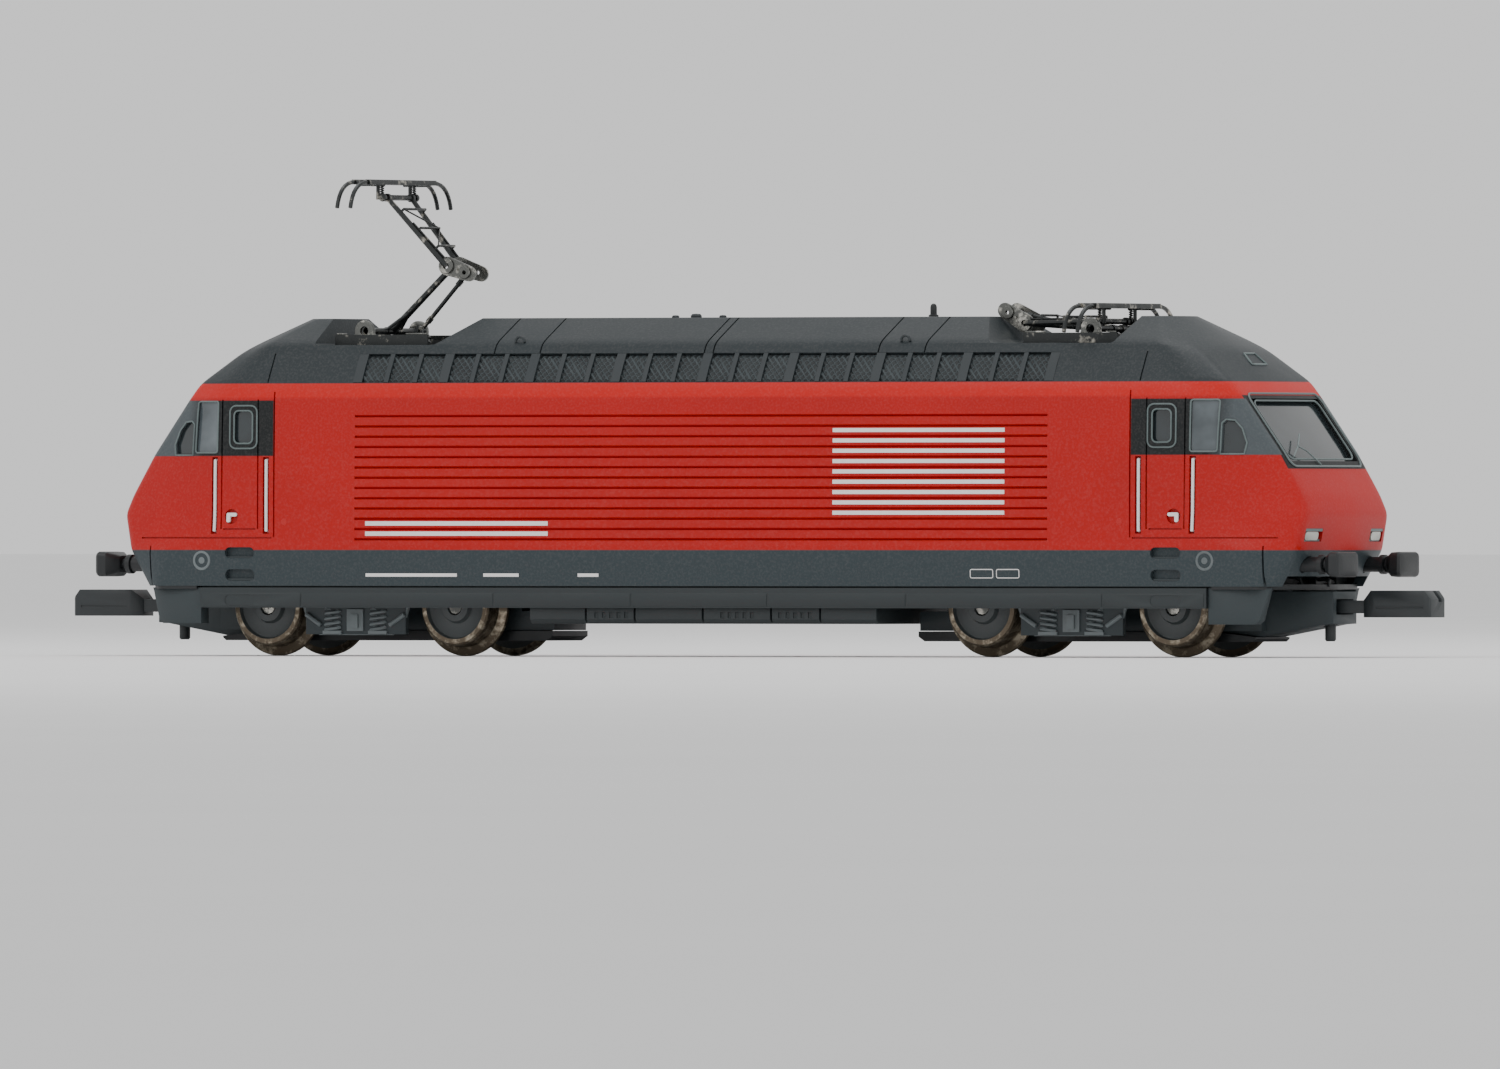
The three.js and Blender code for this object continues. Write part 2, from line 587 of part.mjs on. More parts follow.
ENDS.forEach(({ end, sign, turn }) => {
  const bogie = new THREE.Group();
  bogie.position.x = sign * BOGIE_PIVOT;
  bogie.rotation.z = turn;
  locomotive.add(bogie);
  addPiece(bogie, `bogie_frame_${end}`, makeBogieFrame(), bogiePlastic);
  addPiece(bogie, `bogie_cover_${end}`, makeBogieCover(), darkPlastic);
  const wheelPhase = Math.PI / 2;
  addPiece(bogie, `worm_wheel_${end}`, makeGear(WORM_WHEEL_TEETH, wheelPhase, 1.85, 0.3), gearPlastic,
    [wormWheelPlace[0], 0, wormWheelPlace[1]]);
  axlePlaces.forEach((x, i) => {
    const axlePlace = [x, TREAD_RADIUS];
    const idlerPhase = meshedPhase(wormWheelPlace, WORM_WHEEL_TEETH, wheelPhase,
      idlerPlaces[i], IDLER_TEETH);
    const axlePhase = meshedPhase(idlerPlaces[i], IDLER_TEETH, idlerPhase, axlePlace, AXLE_TEETH);
    addPiece(bogie, `idler_gear_${end}_${i + 1}`, makeGear(IDLER_TEETH, idlerPhase, 1.85, 0.3),
      gearPlastic, [idlerPlaces[i][0], 0, idlerPlaces[i][1]]);
    addPiece(bogie, `geared_axle_${end}_${i + 1}`, makeGear(AXLE_TEETH, axlePhase, 4.4, AXLE_RADIUS),
      brightSteel, [x, 0, TREAD_RADIUS]);
    [1, -1].forEach((side, s) => {
      addPiece(bogie, `wheel_${end}_${i + 1}_${s === 0 ? 'a' : 'b'}`, makeWheel(side), wheelSteel,
        [x, 0, TREAD_RADIUS]);
    });
  });
  addPiece(bogie, `coupler_${end}`, makeCoupler(), darkPlastic, [COUPLER_PIVOT, 0, 0]);
  addPiece(bogie, `coupler_spring_${end}`, makeCouplerSpring(), brightSteel);
});

// ---------------------------------------------------------------- pantographs
// Joint places in X and Z for one attitude of the arms
function linkage(attitude) {
  const [lower, upper] = [radians(attitude.lower), radians(attitude.upper)];
  const knee = [ARM_PIVOT[0] - LOWER_ARM * Math.cos(lower), ARM_PIVOT[1] + LOWER_ARM * Math.sin(lower)];
  const head = [knee[0] + UPPER_ARM * Math.cos(upper), knee[1] + UPPER_ARM * Math.sin(upper)];
  const tail = [
    knee[0] + TAIL[0] * Math.cos(upper) - TAIL[1] * Math.sin(upper),
    knee[1] + TAIL[0] * Math.sin(upper) + TAIL[1] * Math.cos(upper),
  ];
  return { knee, head, tail };
}

// The foot of the thrust rod is as far from the tail in both attitudes
function thrustFoot() {
  const [up, down] = [linkage(RAISED).tail, linkage(FOLDED).tail];
  const rise = (up[1] - THRUST_HEIGHT) ** 2 - (down[1] - THRUST_HEIGHT) ** 2;
  return [(up[0] ** 2 - down[0] ** 2 + rise) / (2 * (up[0] - down[0])), THRUST_HEIGHT];
}

function at([x, z], y) {
  return [x, y, z];
}

function makePantographBase() {
  const foot = thrustFoot();
  const [low, high] = [WELL_FLOOR + 0.02, WELL_FLOOR + 0.35];
  const parts = [block(22.0, 22.6, -BASE_HALF_WIDTH, BASE_HALF_WIDTH, low, high)];
  parts.push(block(25.6, 26.2, -BASE_HALF_WIDTH, BASE_HALF_WIDTH, low, high));
  const [inner, outer] = [BASE_HALF_WIDTH - 0.2, BASE_HALF_WIDTH + 0.2];
  parts.push(...bothSides(() => block(20.1, 26.4, inner, outer, low, high)));
  const lugTop = ARM_PIVOT[1] + 0.35;
  const lug = [[23.8, high - 0.1], [25.2, high - 0.1], [24.9, lugTop], [24.1, lugTop]];
  parts.push(...bothSides(() => prismAlongY(lug, inner, outer)));
  const bracket = THRUST_OFFSET + 0.22;
  parts.push(block(foot[0] - 0.3, foot[0] + 0.3, bracket, bracket + 0.25, low, foot[1] + 0.25));
  parts.push(block(foot[0] - 0.3, 22.3, -0.6, bracket + 0.25, low, high));
  return join(parts);
}

function makeLowerArm({ knee }) {
  return join([
    rod([ARM_PIVOT[0], -3.15, ARM_PIVOT[1]], [ARM_PIVOT[0], 3.15, ARM_PIVOT[1]], 0.24),
    rod(at(ARM_PIVOT, 0), at(knee, 0), 0.22),
    rod(at(knee, -0.26), at(knee, 0.26), 0.24),
  ]);
}

function makeThrustRod(foot, tail) {
  const [inner, outer] = [THRUST_OFFSET - 0.17, THRUST_OFFSET + 0.17];
  return join([
    rod(at(foot, THRUST_OFFSET), at(tail, THRUST_OFFSET), THRUST_RADIUS, 6),
    rod(at(foot, inner), at(foot, outer), 0.26),
    rod(at(tail, inner), at(tail, outer), 0.26),
  ]);
}

function makeUpperArm({ knee, head, tail }) {
  const beams = [1, -1].map((side) => join([
    rod(at(knee, side * 0.82), at(head, side * 1.5), 0.15, 6),
    rod(at(tail, side * 0.82), at(knee, side * 0.82), 0.13, 6),
    rod(at(knee, side * 0.68), at(knee, side * 0.98), 0.24),
    rod(at(tail, side * 0.68), at(tail, side * 0.94), 0.22),
  ]));
  return join([...beams, rod(at(head, -1.65), at(head, 1.65), 0.19)]);
}

function makePantographHead({ head }) {
  const [x, z] = head;
  const [high, flat] = [z + HEAD_RISE, 4.2];
  const parts = [];
  [-1, 1].forEach((end) => {
    const stripX = x + end * STRIP_SPACING / 2;
    parts.push(block(stripX - 0.2, stripX + 0.2, -flat, flat, high, high + 0.32));
    [-1, 1].forEach((side) => {
      const bend = [stripX, side * 5.4, high - 0.35];
      parts.push(rod([stripX, side * (flat - 0.2), high + 0.15], bend, 0.15, 6));
      parts.push(rod(bend, [stripX, side * HEAD_HALF_WIDTH, high - 1.45], 0.13, 6));
    });
  });
  [-1, 1].forEach((side) => {
    const y = side * 2.0;
    const half = STRIP_SPACING / 2 + 0.1;
    parts.push(block(x - half, x + half, y - 0.12, y + 0.12, high - 0.2, high + 0.1));
    parts.push(block(x - 0.15, x + 0.15, y - 0.12, y + 0.12, z - 0.15, high));
    parts.push(rod([x, y - side * 0.3, z], [x, y, z], 0.13, 6));
  });
  return join(parts);
}

const footPlace = thrustFoot();
const ATTITUDES = { front: FOLDED, rear: RAISED };
ENDS.forEach(({ end, turn }) => {
  const pantograph = new THREE.Group();
  pantograph.rotation.z = turn;
  locomotive.add(pantograph);
  const places = linkage(ATTITUDES[end]);
  addPiece(pantograph, `pantograph_base_${end}`, makePantographBase(), burnishedSteel);
  addPiece(pantograph, `lower_arm_${end}`, makeLowerArm(places), burnishedSteel);
  addPiece(pantograph, `thrust_rod_${end}`, makeThrustRod(footPlace, places.tail), burnishedSteel);
  addPiece(pantograph, `upper_arm_${end}`, makeUpperArm(places), burnishedSteel);
  addPiece(pantograph, `pantograph_head_${end}`, makePantographHead(places), burnishedSteel);
});

export default locomotive;
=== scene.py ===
"""Looks of a Z gauge electric locomotive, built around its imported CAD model.

Shapes are drawn in millimetres, with +X along the locomotive, +Z up and heights above the rail top.
finish_piece() turns each one into metres in the frame's own place.
"""
import math

import bpy
import numpy as np
from mathutils import Matrix, Vector


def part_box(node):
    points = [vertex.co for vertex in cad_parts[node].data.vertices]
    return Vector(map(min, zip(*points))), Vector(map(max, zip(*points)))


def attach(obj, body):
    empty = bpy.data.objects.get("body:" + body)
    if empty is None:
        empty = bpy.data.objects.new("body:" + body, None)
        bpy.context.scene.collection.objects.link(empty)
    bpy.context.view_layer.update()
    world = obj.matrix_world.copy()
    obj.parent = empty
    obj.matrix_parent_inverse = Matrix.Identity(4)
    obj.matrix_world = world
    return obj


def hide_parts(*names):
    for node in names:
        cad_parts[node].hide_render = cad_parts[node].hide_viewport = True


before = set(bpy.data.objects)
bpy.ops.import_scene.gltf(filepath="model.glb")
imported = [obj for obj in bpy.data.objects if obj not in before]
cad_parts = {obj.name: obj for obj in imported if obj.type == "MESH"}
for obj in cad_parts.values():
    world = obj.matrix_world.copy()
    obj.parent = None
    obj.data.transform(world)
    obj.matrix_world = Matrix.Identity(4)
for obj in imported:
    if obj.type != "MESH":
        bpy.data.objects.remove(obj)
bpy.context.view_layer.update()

MM = 0.001
FLANGE_DEPTH = 0.6
SMALLEST_RADIUS = 1e-4
BEVEL_ANGLE = 35

# ------------------------------------------------------------------ driving dimensions
BOGIE_PIVOT = 24.15
WHEELBASE = 12.75
TREAD_RADIUS = 2.34
FLANGE_RADIUS = 2.94
ROOF_TOP = 19.6
WELL_FLOOR = 18.0
ROOF_EDGE = 15.7
SKIRT_TOP = 5.75
SKIRT_BOTTOM = 3.6
RIB_END = 23.35
RIB_PITCH = 0.6125
RIB_COUNT = 13
RIB_LOW = 6.36
RIB_DEPTH = 0.17
BAND_START = 28.9
BAND_INNER = 4.9
BAND_LOW = 11.37
BAND_HIGH = 14.69
DOOR = (29.9, 32.5)
FOOT_RECESS = (30.1, 32.3)
HANDRAILS = (29.4, 32.95)
GRILLE_END = 23.3
GRILLE_GROUPS = 8
GRILLE_PER_GROUP = 3
MESH_PITCH = 0.42
SCREEN_HALF = 4.3
SCREEN_LOW = 11.0
SCREEN_HIGH = 14.7
LAMP_OFFSET = 4.05
STEP_X = 31.2
CAP_PLACE = (33.8, 5.12)
KNOB_PLACE = (28.15, 7.44)
ROOF_JOINTS = (14.5, 11.4, 0.3)
CAVITY_SHOULDER = 16.9
CAVITY_TOP = 17.2
WALL = 0.5
END_WALL = 0.8
LINE = 0.1
LINE_DEPTH = 0.1
CLEAR = 0.3
PANE_GAP = 0.01
SLOT_HALF_WIDTH = 0.75
BUFFER_OFFSET = 3.97
BUFFER_HEIGHT = 4.9
BUFFER_FACE = 42.0
COUPLER_PIVOT = 38.7
ENDS = (("front", 1), ("rear", -1))
SIDES = (1, -1)

# Plan outline at each height: z, half width, start of the cab's taper, corner x and y, nose
BODY_LEVELS = np.array([
    (3.60, 6.70, 36.6, 38.0, 5.75, 38.9),
    (5.75, 6.79, 36.0, 39.3, 5.81, 39.7),
    (6.50, 6.79, 33.5, 39.45, 5.77, 39.8),
    (7.90, 6.79, 31.5, 39.8, 5.55, 40.1),
    (9.00, 6.79, 31.5, 39.4, 5.34, 39.75),
    (11.45, 6.76, 31.5, 37.95, 5.33, 38.2),
    (14.80, 6.70, 31.5, 35.45, 5.45, 35.75),
    (15.70, 6.55, 31.0, 34.75, 5.4, 35.05),
    (17.55, 5.50, 30.2, 32.35, 4.5, 33.1),
    (18.10, 5.20, 29.8, 31.4, 4.1, 32.2),
    (19.50, 2.40, 28.4, 29.2, 1.8, 29.5),
    (19.60, 2.20, 28.2, 29.0, 1.7, 29.3),
])


# ------------------------------------------------------------------ mesh building
def mesh_object(verts, faces, name="shape"):
    """A mesh from points and faces, turned outside out if its volume comes out negative."""
    mesh = bpy.data.meshes.new(name)
    mesh.from_pydata([tuple(map(float, v)) for v in verts], [], faces)
    mesh.update()
    obj = bpy.data.objects.new(name, mesh)
    bpy.context.scene.collection.objects.link(obj)
    volume = sum(
        mesh.vertices[p.vertices[0]].co.dot(
            mesh.vertices[p.vertices[i]].co.cross(mesh.vertices[p.vertices[i + 1]].co))
        for p in mesh.polygons for i in range(1, len(p.vertices) - 1))
    if volume < 0:
        mesh.flip_normals()
    return obj


def prism(outline, low, high, axis="z"):
    """An outline drawn out along one axis. The outline holds the other two coordinates, in order."""
    n = len(outline)
    place = {
        "x": lambda a, b, c: (c, a, b),
        "y": lambda a, b, c: (a, c, b),
        "z": lambda a, b, c: (a, b, c),
    }[axis]
    verts = [place(a, b, low) for a, b in outline] + [place(a, b, high) for a, b in outline]
    faces = [tuple(range(n - 1, -1, -1)), tuple(range(n, 2 * n))]
    faces += [(i, (i + 1) % n, (i + 1) % n + n, i + n) for i in range(n)]
    return mesh_object(verts, faces)


def box(x0, x1, y0, y1, z0, z1):
    return prism([(x0, y0), (x1, y0), (x1, y1), (x0, y1)], z0, z1)


def slab(x0, x1, y, half, z0, z1):
    """A box that reaches equally far to both sides of y."""
    return box(x0, x1, y - half, y + half, z0, z1)


def curve(start, corner, end, t):
    """A place on the curve from start to end that the corner draws towards itself."""
    return start * (1 - t) ** 2 + corner * 2 * t * (1 - t) + end * t * t


def arc(x, z, radius, start, end, count):
    return [(x + radius * math.cos(a), z + radius * math.sin(a)) for a in np.linspace(start, end, count)]


def ring_surface(rings, closed=False):
    """A surface through rings of equal length, capped at both ends or closed on itself."""
    n = len(rings[0])
    verts = [p for ring in rings for p in ring]
    faces = []
    last = len(rings) if closed else len(rings) - 1
    for r in range(last):
        a, b = r * n, ((r + 1) % len(rings)) * n
        faces += [(a + i, a + (i + 1) % n, b + (i + 1) % n, b + i) for i in range(n)]
    if not closed:
        faces.append(tuple(range(n - 1, -1, -1)))
        faces.append(tuple(range(len(verts) - n, len(verts))))
    return mesh_object(verts, faces)


def tube(points, radius, sides=8, closed=False):
    """A round rod along a line of points, its frame carried along without twist."""
    pts = [Vector(p) for p in points]
    n = len(pts)
    runs = []
    for i in range(n):
        before = pts[i - 1] if closed or i > 0 else pts[i]
        after = pts[(i + 1) % n] if closed or i < n - 1 else pts[i]
        runs.append((after - before).normalized())
    side = runs[0].orthogonal().normalized()
    rings = []
    for i in range(n):
        side = (side - runs[i] * side.dot(runs[i])).normalized()
        other = runs[i].cross(side)
        r = radius(i / max(n - 1, 1)) if callable(radius) else radius
        turn = [2 * math.pi * k / sides for k in range(sides)]
        rings.append([pts[i] + (side * math.cos(a) + other * math.sin(a)) * r for a in turn])
    return ring_surface(rings, closed)


def lathe(profile, axis, sides):
    """A turned piece from (radius, place along the axis) points; the profile closes on itself."""
    rings = []
    for k in range(sides):
        c, s = math.cos(2 * math.pi * k / sides), math.sin(2 * math.pi * k / sides)
        place = {
            "x": lambda r, a: (a, r * c, r * s),
            "y": lambda r, a: (r * c, a, r * s),
            "z": lambda r, a: (r * c, r * s, a),
        }[axis]
        rings.append([place(max(r, SMALLEST_RADIUS), a) for r, a in profile])
    return ring_surface(rings, closed=True)


def rounded_rect(cx, cz, width, height, radius, steps=5):
    points = []
    for k, (sx, sz) in enumerate(((1, 1), (-1, 1), (-1, -1), (1, -1))):
        ox, oz = cx + sx * (width / 2 - radius), cz + sz * (height / 2 - radius)
        for i in range(steps + 1):
            a = math.pi / 2 * (k + i / steps)
            points.append((ox + radius * math.cos(a), oz + radius * math.sin(a)))
    return points


def moved(obj, x=0.0, y=0.0, z=0.0):
    obj.data.transform(Matrix.Translation((x, y, z)))
    return obj


def mirrored(obj, axis):
    scale = [-1 if a == axis else 1 for a in "xyz"]
    obj.data.transform(Matrix.Diagonal((*scale, 1)))
    obj.data.flip_normals()
    return obj


def joined(objects):
    """One mesh that holds all the meshes, each still its own closed surface."""
    verts, faces = [], []
    for obj in objects:
        start = len(verts)
        verts += [v.co.copy() for v in obj.data.vertices]
        faces += [tuple(start + i for i in p.vertices) for p in obj.data.polygons]
        bpy.data.objects.remove(obj)
    return mesh_object(verts, faces)


def apply_modifiers(obj):
    bpy.context.view_layer.update()
    depsgraph = bpy.context.evaluated_depsgraph_get()
    mesh = bpy.data.meshes.new_from_object(obj.evaluated_get(depsgraph))
    obj.modifiers.clear()
    obj.data = mesh
    return obj


def carve(obj, cutters, operation="DIFFERENCE"):
    """One solid cut by, added to or kept within others."""
    cutter = joined(cutters)
    modifier = obj.modifiers.new("carve", "BOOLEAN")
    modifier.operation = operation
    modifier.solver = "EXACT"
    modifier.use_self = True
    modifier.object = cutter
    apply_modifiers(obj)
    bpy.data.objects.remove(cutter)
    return obj


def welded(solids):
    """Solids joined into one outer surface."""
    return carve(solids[0], solids[1:], "UNION")


def finish_piece(obj, name, body, material, replaces=(), bevel=0.0, smooth=32):
    """The shape as a piece of the model: edges eased, in metres, with its material and body."""
    if bevel:
        modifier = obj.modifiers.new("edges", "BEVEL")
        modifier.width = bevel
        modifier.segments = 2
        modifier.limit_method = "ANGLE"
        modifier.angle_limit = math.radians(BEVEL_ANGLE)
        apply_modifiers(obj)
    obj.name = name
    obj.data.name = name
    obj.data.transform(Matrix.Translation((0, 0, FLANGE_DEPTH)))
    obj.data.transform(Matrix.Scale(MM, 4))
    obj.data.materials.clear()
    obj.data.materials.append(material)
    obj.data.shade_smooth()
    obj.data.set_sharp_from_angle(angle=math.radians(smooth))
    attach(obj, body)
    if replaces:
        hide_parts(*replaces)
    return obj


# ------------------------------------------------------------------ materials
class Nodes:
    """A small wrapper that adds and links shader nodes."""

    def __init__(self, name):
        self.material = bpy.data.materials.new(name)
        self.material.use_nodes = True
        self.tree = self.material.node_tree
        self.shader = self.tree.nodes["Principled BSDF"]
        coordinate = self.tree.nodes.new("ShaderNodeTexCoord")
        self.place = coordinate.outputs["Object"]

    def link(self, source, target):
        if isinstance(source, (int, float)):
            target.default_value = source
        elif isinstance(source, tuple):
            target.default_value = (*source, 1.0)[:4]
        else:
            self.tree.links.new(source, target)

    def noise(self, per_mm, detail=3.0, roughness=0.5):
        mapping = self.tree.nodes.new("ShaderNodeMapping")
        mapping.inputs["Scale"].default_value = [per_mm / MM] * 3
        self.link(self.place, mapping.inputs["Vector"])
        node = self.tree.nodes.new("ShaderNodeTexNoise")
        node.inputs["Scale"].default_value = 1.0
        node.inputs["Detail"].default_value = detail
        node.inputs["Roughness"].default_value = roughness
        self.link(mapping.outputs["Vector"], node.inputs["Vector"])
        return node.outputs["Fac"]

    def math(self, operation, a, b=0.0, clamp=False):
        node = self.tree.nodes.new("ShaderNodeMath")
        node.operation = operation
        node.use_clamp = clamp
        self.link(a, node.inputs[0])
        self.link(b, node.inputs[1])
        return node.outputs[0]

    def spread(self, value, low, high, out_low=0.0, out_high=1.0):
        node = self.tree.nodes.new("ShaderNodeMapRange")
        self.link(value, node.inputs["Value"])
        node.inputs["From Min"].default_value = low
        node.inputs["From Max"].default_value = high
        node.inputs["To Min"].default_value = out_low
        node.inputs["To Max"].default_value = out_high
        return node.outputs["Result"]

    def mix(self, factor, a, b):
        node = self.tree.nodes.new("ShaderNodeMix")
        node.data_type = "RGBA"
        self.link(factor, node.inputs[0])
        self.link(a, node.inputs[6])
        self.link(b, node.inputs[7])
        return node.outputs[2]

    def bump(self, height, distance_mm, strength=1.0):
        node = self.tree.nodes.new("ShaderNodeBump")
        node.inputs["Strength"].default_value = strength
        node.inputs["Distance"].default_value = distance_mm * MM
        self.link(height, node.inputs["Height"])
        self.link(node.outputs["Normal"], self.shader.inputs["Normal"])


def linear(red, green, blue):
    """sRGB from 0 to 255, as linear colour."""
    def one(c):
        c /= 255
        return c / 12.92 if c <= 0.04045 else ((c + 0.055) / 1.055) ** 2.4
    return (one(red), one(green), one(blue))


def toned(color, factor):
    return tuple(min(c * factor, 1.0) for c in color)


def moulded_plastic(name, color, roughness=0.5, dust=0.12, grain=6.0, bump_mm=0.012):
    """Painted or moulded plastic: cloudy tone, fine grain, dusty matt patches."""
    m = Nodes(name)
    cloud = m.noise(0.25, 4.0, 0.6)
    grainy = m.noise(grain, 2.0, 0.6)
    tone = m.mix(m.spread(cloud, 0.3, 0.7), toned(color, 1 - dust), toned(color, 1 + dust))
    speck = m.mix(m.spread(grainy, 0.4, 0.8, 0.0, 0.25), tone, toned(color, 1.3))
    m.link(speck, m.shader.inputs["Base Color"])
    m.link(m.spread(cloud, 0.3, 0.7, roughness - 0.08, roughness + 0.1), m.shader.inputs["Roughness"])
    m.bump(grainy, bump_mm, 0.6)
    return m.material


def worn_metal(name, color, bright, roughness=0.35, wear=0.5, scale=1.6):
    """Metal with a dark patina that is worn bright in spots."""
    m = Nodes(name)
    patches = m.noise(scale, 4.0, 0.65)
    fine = m.noise(scale * 9, 2.0, 0.5)
    mask = m.spread(patches, wear, wear + 0.14)
    m.link(m.mix(mask, m.mix(fine, toned(color, 0.75), toned(color, 1.2)), bright),
           m.shader.inputs["Base Color"])
    m.link(m.spread(patches, 0.3, 0.7, roughness + 0.12, roughness - 0.08),
           m.shader.inputs["Roughness"])
    m.shader.inputs["Metallic"].default_value = 0.9
    m.bump(fine, 0.006, 0.5)
    return m.material


RED = linear(176, 10, 6)
# Lighter red of the painted highlight on the shoulder below the roof edge.
RED_PAINTED_HIGHLIGHT = linear(196, 20, 12)
SKIRT_GREY = linear(50, 60, 64)
ROOF_GREY = linear(37, 44, 47)
BAND_GREY = linear(17, 21, 22)
# Grey of the painted highlight on the window band at the cab corners.
PILLAR_PAINTED_HIGHLIGHT = linear(84, 92, 96)


def body_paint():
    """Sprayed plastic: grey skirt, red sides and dark roof and window bands, parted by clean edges, with
    painted highlights on the red below the roof edge and on the window band at the cab corners.
    """
    m = Nodes("body_paint")
    split = m.tree.nodes.new("ShaderNodeSeparateXYZ")
    m.link(m.place, split.inputs[0])
    height = m.math("SUBTRACT", m.math("DIVIDE", split.outputs["Z"], MM), FLANGE_DEPTH)
    along = m.math("ABSOLUTE", m.math("DIVIDE", split.outputs["X"], MM))
    across = m.math("ABSOLUTE", m.math("DIVIDE", split.outputs["Y"], MM))

    def above(value, edge, soft=0.03):
        return m.spread(value, edge - soft, edge + soft)

    def between(value, low, high):
        return m.math("SUBTRACT", above(value, low), above(value, high))

    cloud = m.noise(0.12, 4.0, 0.6)
    grain = m.noise(7.0, 2.0, 0.6)
    red = m.mix(m.spread(cloud, 0.3, 0.7), toned(RED, 0.94), toned(RED, 1.06))
    # Painted highlight: the red is lighter from 14.85 mm up to the roof edge, where the side turns up towards
    # the light.
    red = m.mix(above(height, 14.85, 0.08), red, RED_PAINTED_HIGHLIGHT)
    recess = m.math("MULTIPLY", between(along, *FOOT_RECESS), m.spread(height, 6.0, 5.95))
    recess = m.math("MULTIPLY", recess, m.spread(across, 6.75, 6.73))
    side = m.math("SUBTRACT", above(height, SKIRT_TOP), recess, clamp=True)
    color = m.mix(side, SKIRT_GREY, red)
    roof = m.mix(m.spread(cloud, 0.3, 0.7), toned(ROOF_GREY, 0.9), toned(ROOF_GREY, 1.12))
    color = m.mix(above(height, ROOF_EDGE), color, roof)
    band = m.math("MULTIPLY", between(height, BAND_LOW, BAND_HIGH), above(along, BAND_START))
    band = m.math("MULTIPLY", band, above(across, BAND_INNER))
    screen = m.math("MULTIPLY", between(height, SCREEN_LOW - 0.45, SCREEN_HIGH + 0.2), above(along, 34.5))
    screen = m.math("MULTIPLY", screen, m.math("SUBTRACT", 1.0, above(across, SCREEN_HALF + 0.75)))
    color = m.mix(m.math("MAXIMUM", band, screen), color, BAND_GREY)
    # Painted highlight: the dark window band grows lighter grey towards the cab corner, where the surface
    # turns.
    pillar_highlight = m.math("MULTIPLY", band, m.spread(along, 33.9, 35.2, 0.0, 0.75))
    color = m.mix(pillar_highlight, color, PILLAR_PAINTED_HIGHLIGHT)
    dusty = m.mix(m.spread(grain, 0.45, 0.85, 0.0, 0.05), color, (0.6, 0.56, 0.54))
    m.link(dusty, m.shader.inputs["Base Color"])
    m.link(m.spread(cloud, 0.3, 0.7, 0.38, 0.52), m.shader.inputs["Roughness"])
    m.shader.inputs["Specular IOR Level"].default_value = 0.3
    m.bump(grain, 0.01, 0.5)
    return m.material


def smoked_glass(name, dark, light):
    m = Nodes(name)
    haze = m.noise(0.4, 3.0, 0.5)
    m.link(m.mix(m.spread(haze, 0.3, 0.7), dark, light), m.shader.inputs["Base Color"])
    m.link(m.spread(haze, 0.3, 0.7, 0.08, 0.2), m.shader.inputs["Roughness"])
    m.shader.inputs["Coat Weight"].default_value = 0.6
    return m.material


def lamp_lens():
    m = Nodes("lamp_lens")
    ribs = m.tree.nodes.new("ShaderNodeTexWave")
    ribs.inputs["Scale"].default_value = 900.0
    m.link(m.place, ribs.inputs["Vector"])
    m.link(m.mix(ribs.outputs["Fac"], linear(126, 128, 118), linear(184, 184, 174)),
           m.shader.inputs["Base Color"])
    m.shader.inputs["Roughness"].default_value = 0.15
    m.shader.inputs["Coat Weight"].default_value = 0.7
    m.bump(ribs.outputs["Fac"], 0.02, 0.5)
    return m.material


def grille_mesh():
    """Moulded mesh: lighter crossing wires over gaps darkened with painted shade, dusty in places."""
    m = Nodes("grille_mesh")
    split = m.tree.nodes.new("ShaderNodeSeparateXYZ")
    m.link(m.place, split.inputs[0])
    turns = 2 * math.pi / (MESH_PITCH * MM)
    x, z = (m.math("MULTIPLY", split.outputs[axis], turns) for axis in "XZ")
    wires = [m.math("COSINE", m.math(operation, x, z)) for operation in ("ADD", "SUBTRACT")]
    mask = m.spread(m.math("MAXIMUM", *wires), 0.35, 0.85)
    # Painted shade: the gaps between the wires are darker than the wires themselves.
    color = m.mix(mask, linear(26, 31, 33), linear(56, 65, 68))
    m.link(m.mix(m.spread(m.noise(0.3), 0.4, 0.7, 0.0, 0.2), color, linear(84, 92, 94)),
           m.shader.inputs["Base Color"])
    m.shader.inputs["Roughness"].default_value = 0.6
    m.bump(mask, 0.05, 0.8)
    return m.material


PAINT = body_paint()
GLASS = smoked_glass("smoked_glass", linear(30, 36, 38), linear(44, 52, 55))
SIDE_GLASS = smoked_glass("side_glass", linear(62, 70, 74), linear(104, 113, 118))
LENS = lamp_lens()
TRIM = moulded_plastic("window_trim", linear(96, 108, 108), 0.4)
RED_KNOB = moulded_plastic("red_knob", RED, 0.4)
ROOF_PLASTIC = moulded_plastic("roof_plastic", ROOF_GREY, 0.5)
WHITE = moulded_plastic("white_print", linear(236, 234, 232), 0.45, 0.03, 9.0, 0.004)
SILL_GREY = moulded_plastic("sill_grey", linear(38, 45, 47), 0.5)
SKIRT = moulded_plastic("skirt_grey", linear(44, 53, 56), 0.5)
BOGIE_GREY = moulded_plastic("bogie_grey", linear(100, 108, 110), 0.55, 0.25)
BLACK = moulded_plastic("black_plastic", linear(26, 29, 31), 0.45, 0.18)
COUPLER_GREY = moulded_plastic("coupler_grey", linear(36, 41, 43), 0.42, 0.2)
GRILLE = grille_mesh()
WHEEL = worn_metal("wheel_metal", linear(104, 94, 80), linear(168, 158, 140), 0.36, 0.5)
RIM = moulded_plastic("wheel_disc", linear(70, 75, 76), 0.42, 0.2)
BURNISHED = worn_metal("burnished_steel", linear(62, 64, 64), linear(176, 172, 162), 0.34, 0.56, 1.1)
SILVER = worn_metal("plain_steel", linear(104, 105, 102), linear(190, 188, 180), 0.3, 0.5)
BRASS = worn_metal("turned_brass", linear(172, 136, 66), linear(222, 190, 110), 0.28, 0.5)
ACETAL = moulded_plastic("acetal", linear(226, 220, 200), 0.4, 0.05)
BOARD = moulded_plastic("lacquered_board", linear(28, 92, 56), 0.3, 0.1, 2.0)
CARBON = moulded_plastic("sintered_carbon", linear(34, 34, 36), 0.7, 0.1)


